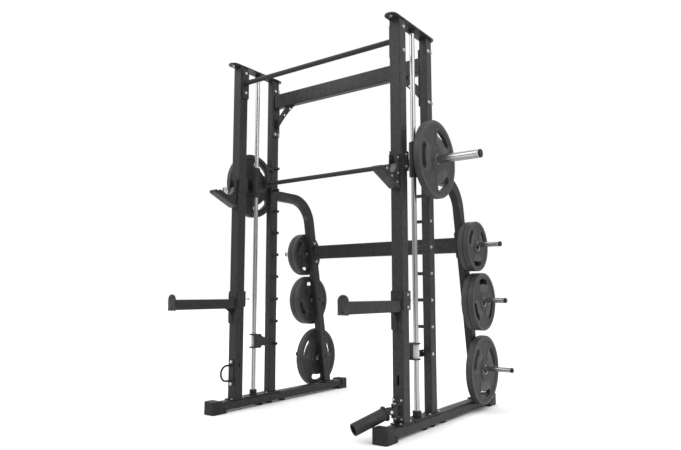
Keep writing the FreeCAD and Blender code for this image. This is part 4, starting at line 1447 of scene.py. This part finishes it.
@dataclass
class WeightPlates(SubAssembly):
    """Rubber plates on the bar and on the storage pins."""

    grips: dict[str, tuple[float, ...]] = field(default_factory=lambda: {
        "bar_weight": (180.0, 60.0, -60.0), "upper_weights": (150.0, 30.0, -90.0),
        "middle_weights": (90.0, -30.0, -150.0), "lower_weights": (150.0, 30.0, -90.0),
    })
    bush_flare: float = 1.2 * MM
    bush_gap: float = 0.4 * MM

    def build(self) -> None:
        """Builds the plates of every stack on both sides."""
        for stack, grips in self.grips.items():
            for side in Side:
                node = f"{stack}_{side.label}"
                plates, bushes = [], []
                for box in Box.of_solids(node):
                    plates.append(self.plate(box, grips))
                    bushes.append(self.bush(box))
                seat(merge(node + "_coated", plates), [node], PLATE_RUBBER)
                seat(merge(node + "_bushes", bushes), [node], ZINC, hide=False)

    def bush(self, box: Box) -> bpy.types.Object:
        """Steel bush in the bore of one plate."""
        bore, flare, gap = GripPlate.bore, self.bush_flare, self.bush_gap
        low, high, out = box.low.x + gap, box.high.x - gap, bore + BUSH_WALL + gap
        return Turning("bush", Axis.X, box.on_axis(Axis.X), [
            (low + flare, bore), (low, bore + flare), (low, out),
            (high, out), (high, bore + flare), (high - flare, bore),
        ], hollow=True, rounding=0.2 * MM).make()

    @staticmethod
    def plate(box: Box, grips: tuple[float, ...]) -> bpy.types.Object:
        """One plate in the box of its solid."""
        inner, _, step = box.ends
        shape = GripPlate(box.radius, box.high.x - box.low.x, grips)
        return shape.make("plate", (box.low + box.high) / 2, inner, step)


@dataclass
class Fasteners(SubAssembly):
    """Bolts of the frame, the clamps and the attachments."""

    nodes: tuple[str, ...] = ("frame_bolts", "peg_bolts", "clamp_bolts", "ring_bolts")
    plain: tuple[str, ...] = (
        "landmine_bolts", "landmine_pitch_pin", "lock_pin_left", "lock_pin_right",
    )
    rounding: float = 0.4 * MM

    def build(self) -> None:
        """Builds the bolt fields and softens the pins."""
        for node in self.nodes:
            BoltField(node).make()
        for node in self.plain:
            piece = round_edges(new_piece(node + "_plated", node_form(node)), self.rounding)
            seat(piece, [node], ZINC)


@dataclass
class LandmineTube(SubAssembly):
    """Open tube of the landmine holder."""

    rounding: float = 0.6 * MM

    def build(self) -> None:
        """Softens and coats the tube."""
        piece = new_piece("landmine_tube_coated", node_form("landmine_tube"))
        seat(round_edges(piece, self.rounding), ["landmine_tube"], FRAME_PAINT)


# ---------------------------------------------------------------- studio
@dataclass
class Softbox:
    """Square area light that looks at the middle of the rack."""

    name: str
    place: tuple[float, float, float]
    size: float
    power: float
    aim_height: float = 1.1

    def make(self) -> None:
        """Hangs the light."""
        light = bpy.data.lights.new(self.name, "AREA")
        light.size = self.size
        light.energy = self.power
        lamp = bpy.data.objects.new(self.name, light)
        lamp.location = self.place
        aim = Vector((0.0, 0.0, self.aim_height)) - Vector(self.place)
        lamp.rotation_euler = aim.to_track_quat("-Z", "Y").to_euler()
        bpy.context.scene.collection.objects.link(lamp)


@dataclass
class Studio:
    """Floor, sky, soft lights and the camera."""

    camera_place: tuple[float, float, float] = (2.3272, -3.205, 0.7671)
    azimuth: float = 36.19
    pitch: float = 6.45
    lens: float = 31.67
    sensor: float = 36.0
    floor_size: float = 60.0
    white: tuple[float, float, float, float] = (1.0, 1.0, 1.0, 1.0)
    sky: tuple[tuple[float, float], ...] = ((0.0, 0.30), (0.5, 0.50), (0.66, 1.05), (1.0, 1.75))
    lights: tuple[Softbox, ...] = (
        Softbox("key", (-2.6, -4.2, 4.6), 3.2, 95.0), Softbox("fill", (4.6, -1.0, 3.6), 3.0, 60.0),
    )

    def build(self) -> None:
        """Makes the floor, the sky, the lights and the camera."""
        self.floor()
        self.light_sky()
        for light in self.lights:
            light.make()
        self.camera()

    def floor(self) -> None:
        """Large plain floor under the rack."""
        form = bmesh.new()
        bmesh.ops.create_grid(form, x_segments=8, y_segments=8, size=self.floor_size / 2)
        floor = new_piece("studio_floor", form)
        PaleFloor("floor", "studio_floor").dress(floor)

    def light_sky(self) -> None:
        """White backdrop, lit as by a large soft ceiling: bright overhead, dimmer at eye level."""
        world = bpy.data.worlds.new("studio_sky")
        sky = ShaderTree(world, "ShaderNodeOutputWorld")
        way = sky.node("ShaderNodeTexCoord", output="Generated")
        rise = sky.node("ShaderNodeSeparateXYZ", inputs={"Vector": way}, output="Z")
        height = sky.node("ShaderNodeMapRange", inputs={"Value": rise, "From Min": -1.0})
        brightest = max(level for _, level in self.sky)
        shares = [(place, level / brightest) for place, level in self.sky]
        level = sky.node("ShaderNodeFloatCurve", {"curve": shares}, {"Value": height})
        glow = sky.node(
            "ShaderNodeBackground", inputs={"Color": self.white, "Strength": level * brightest}
        )
        plain = sky.node("ShaderNodeBackground", inputs={"Color": self.white})
        seen = sky.node("ShaderNodeLightPath", output="Is Camera Ray")
        sky.end(sky.node("ShaderNodeMixShader", inputs={"Fac": seen, 1: glow, 2: plain}))
        bpy.context.scene.world = world

    def camera(self) -> None:
        """Camera at eye height in front and to the right."""
        lens = bpy.data.cameras.new("camera")
        lens.lens = self.lens
        lens.sensor_width = self.sensor
        camera = bpy.data.objects.new("camera", lens)
        camera.location = self.camera_place
        azimuth, pitch = math.radians(self.azimuth), math.radians(self.pitch)
        look = Vector((
            -math.sin(azimuth) * math.cos(pitch), math.cos(azimuth) * math.cos(pitch),
            math.sin(pitch),
        ))
        camera.rotation_euler = look.to_track_quat("-Z", "Y").to_euler()
        bpy.context.scene.collection.objects.link(camera)
        bpy.context.scene.camera = camera
        bpy.context.scene.view_settings.view_transform = "Standard"


def main() -> None:
    """Builds every sub-assembly in order and then the studio."""
    logging.basicConfig(level=logging.INFO, format="%(name)s %(message)s")
    parts: list[SubAssembly] = [
        SteelFrame(), Mouldings(), GuideRods(), Carriages(), Barbell(), StoragePins(), Pegs(),
        PullUpBar(), WeightPlates(), Fasteners(), LandmineTube(),
    ]
    for part in parts:
        part.build()
        LOG.info("built %s", type(part).__name__)
    Studio().build()


if __name__ == "__main__":
    main()
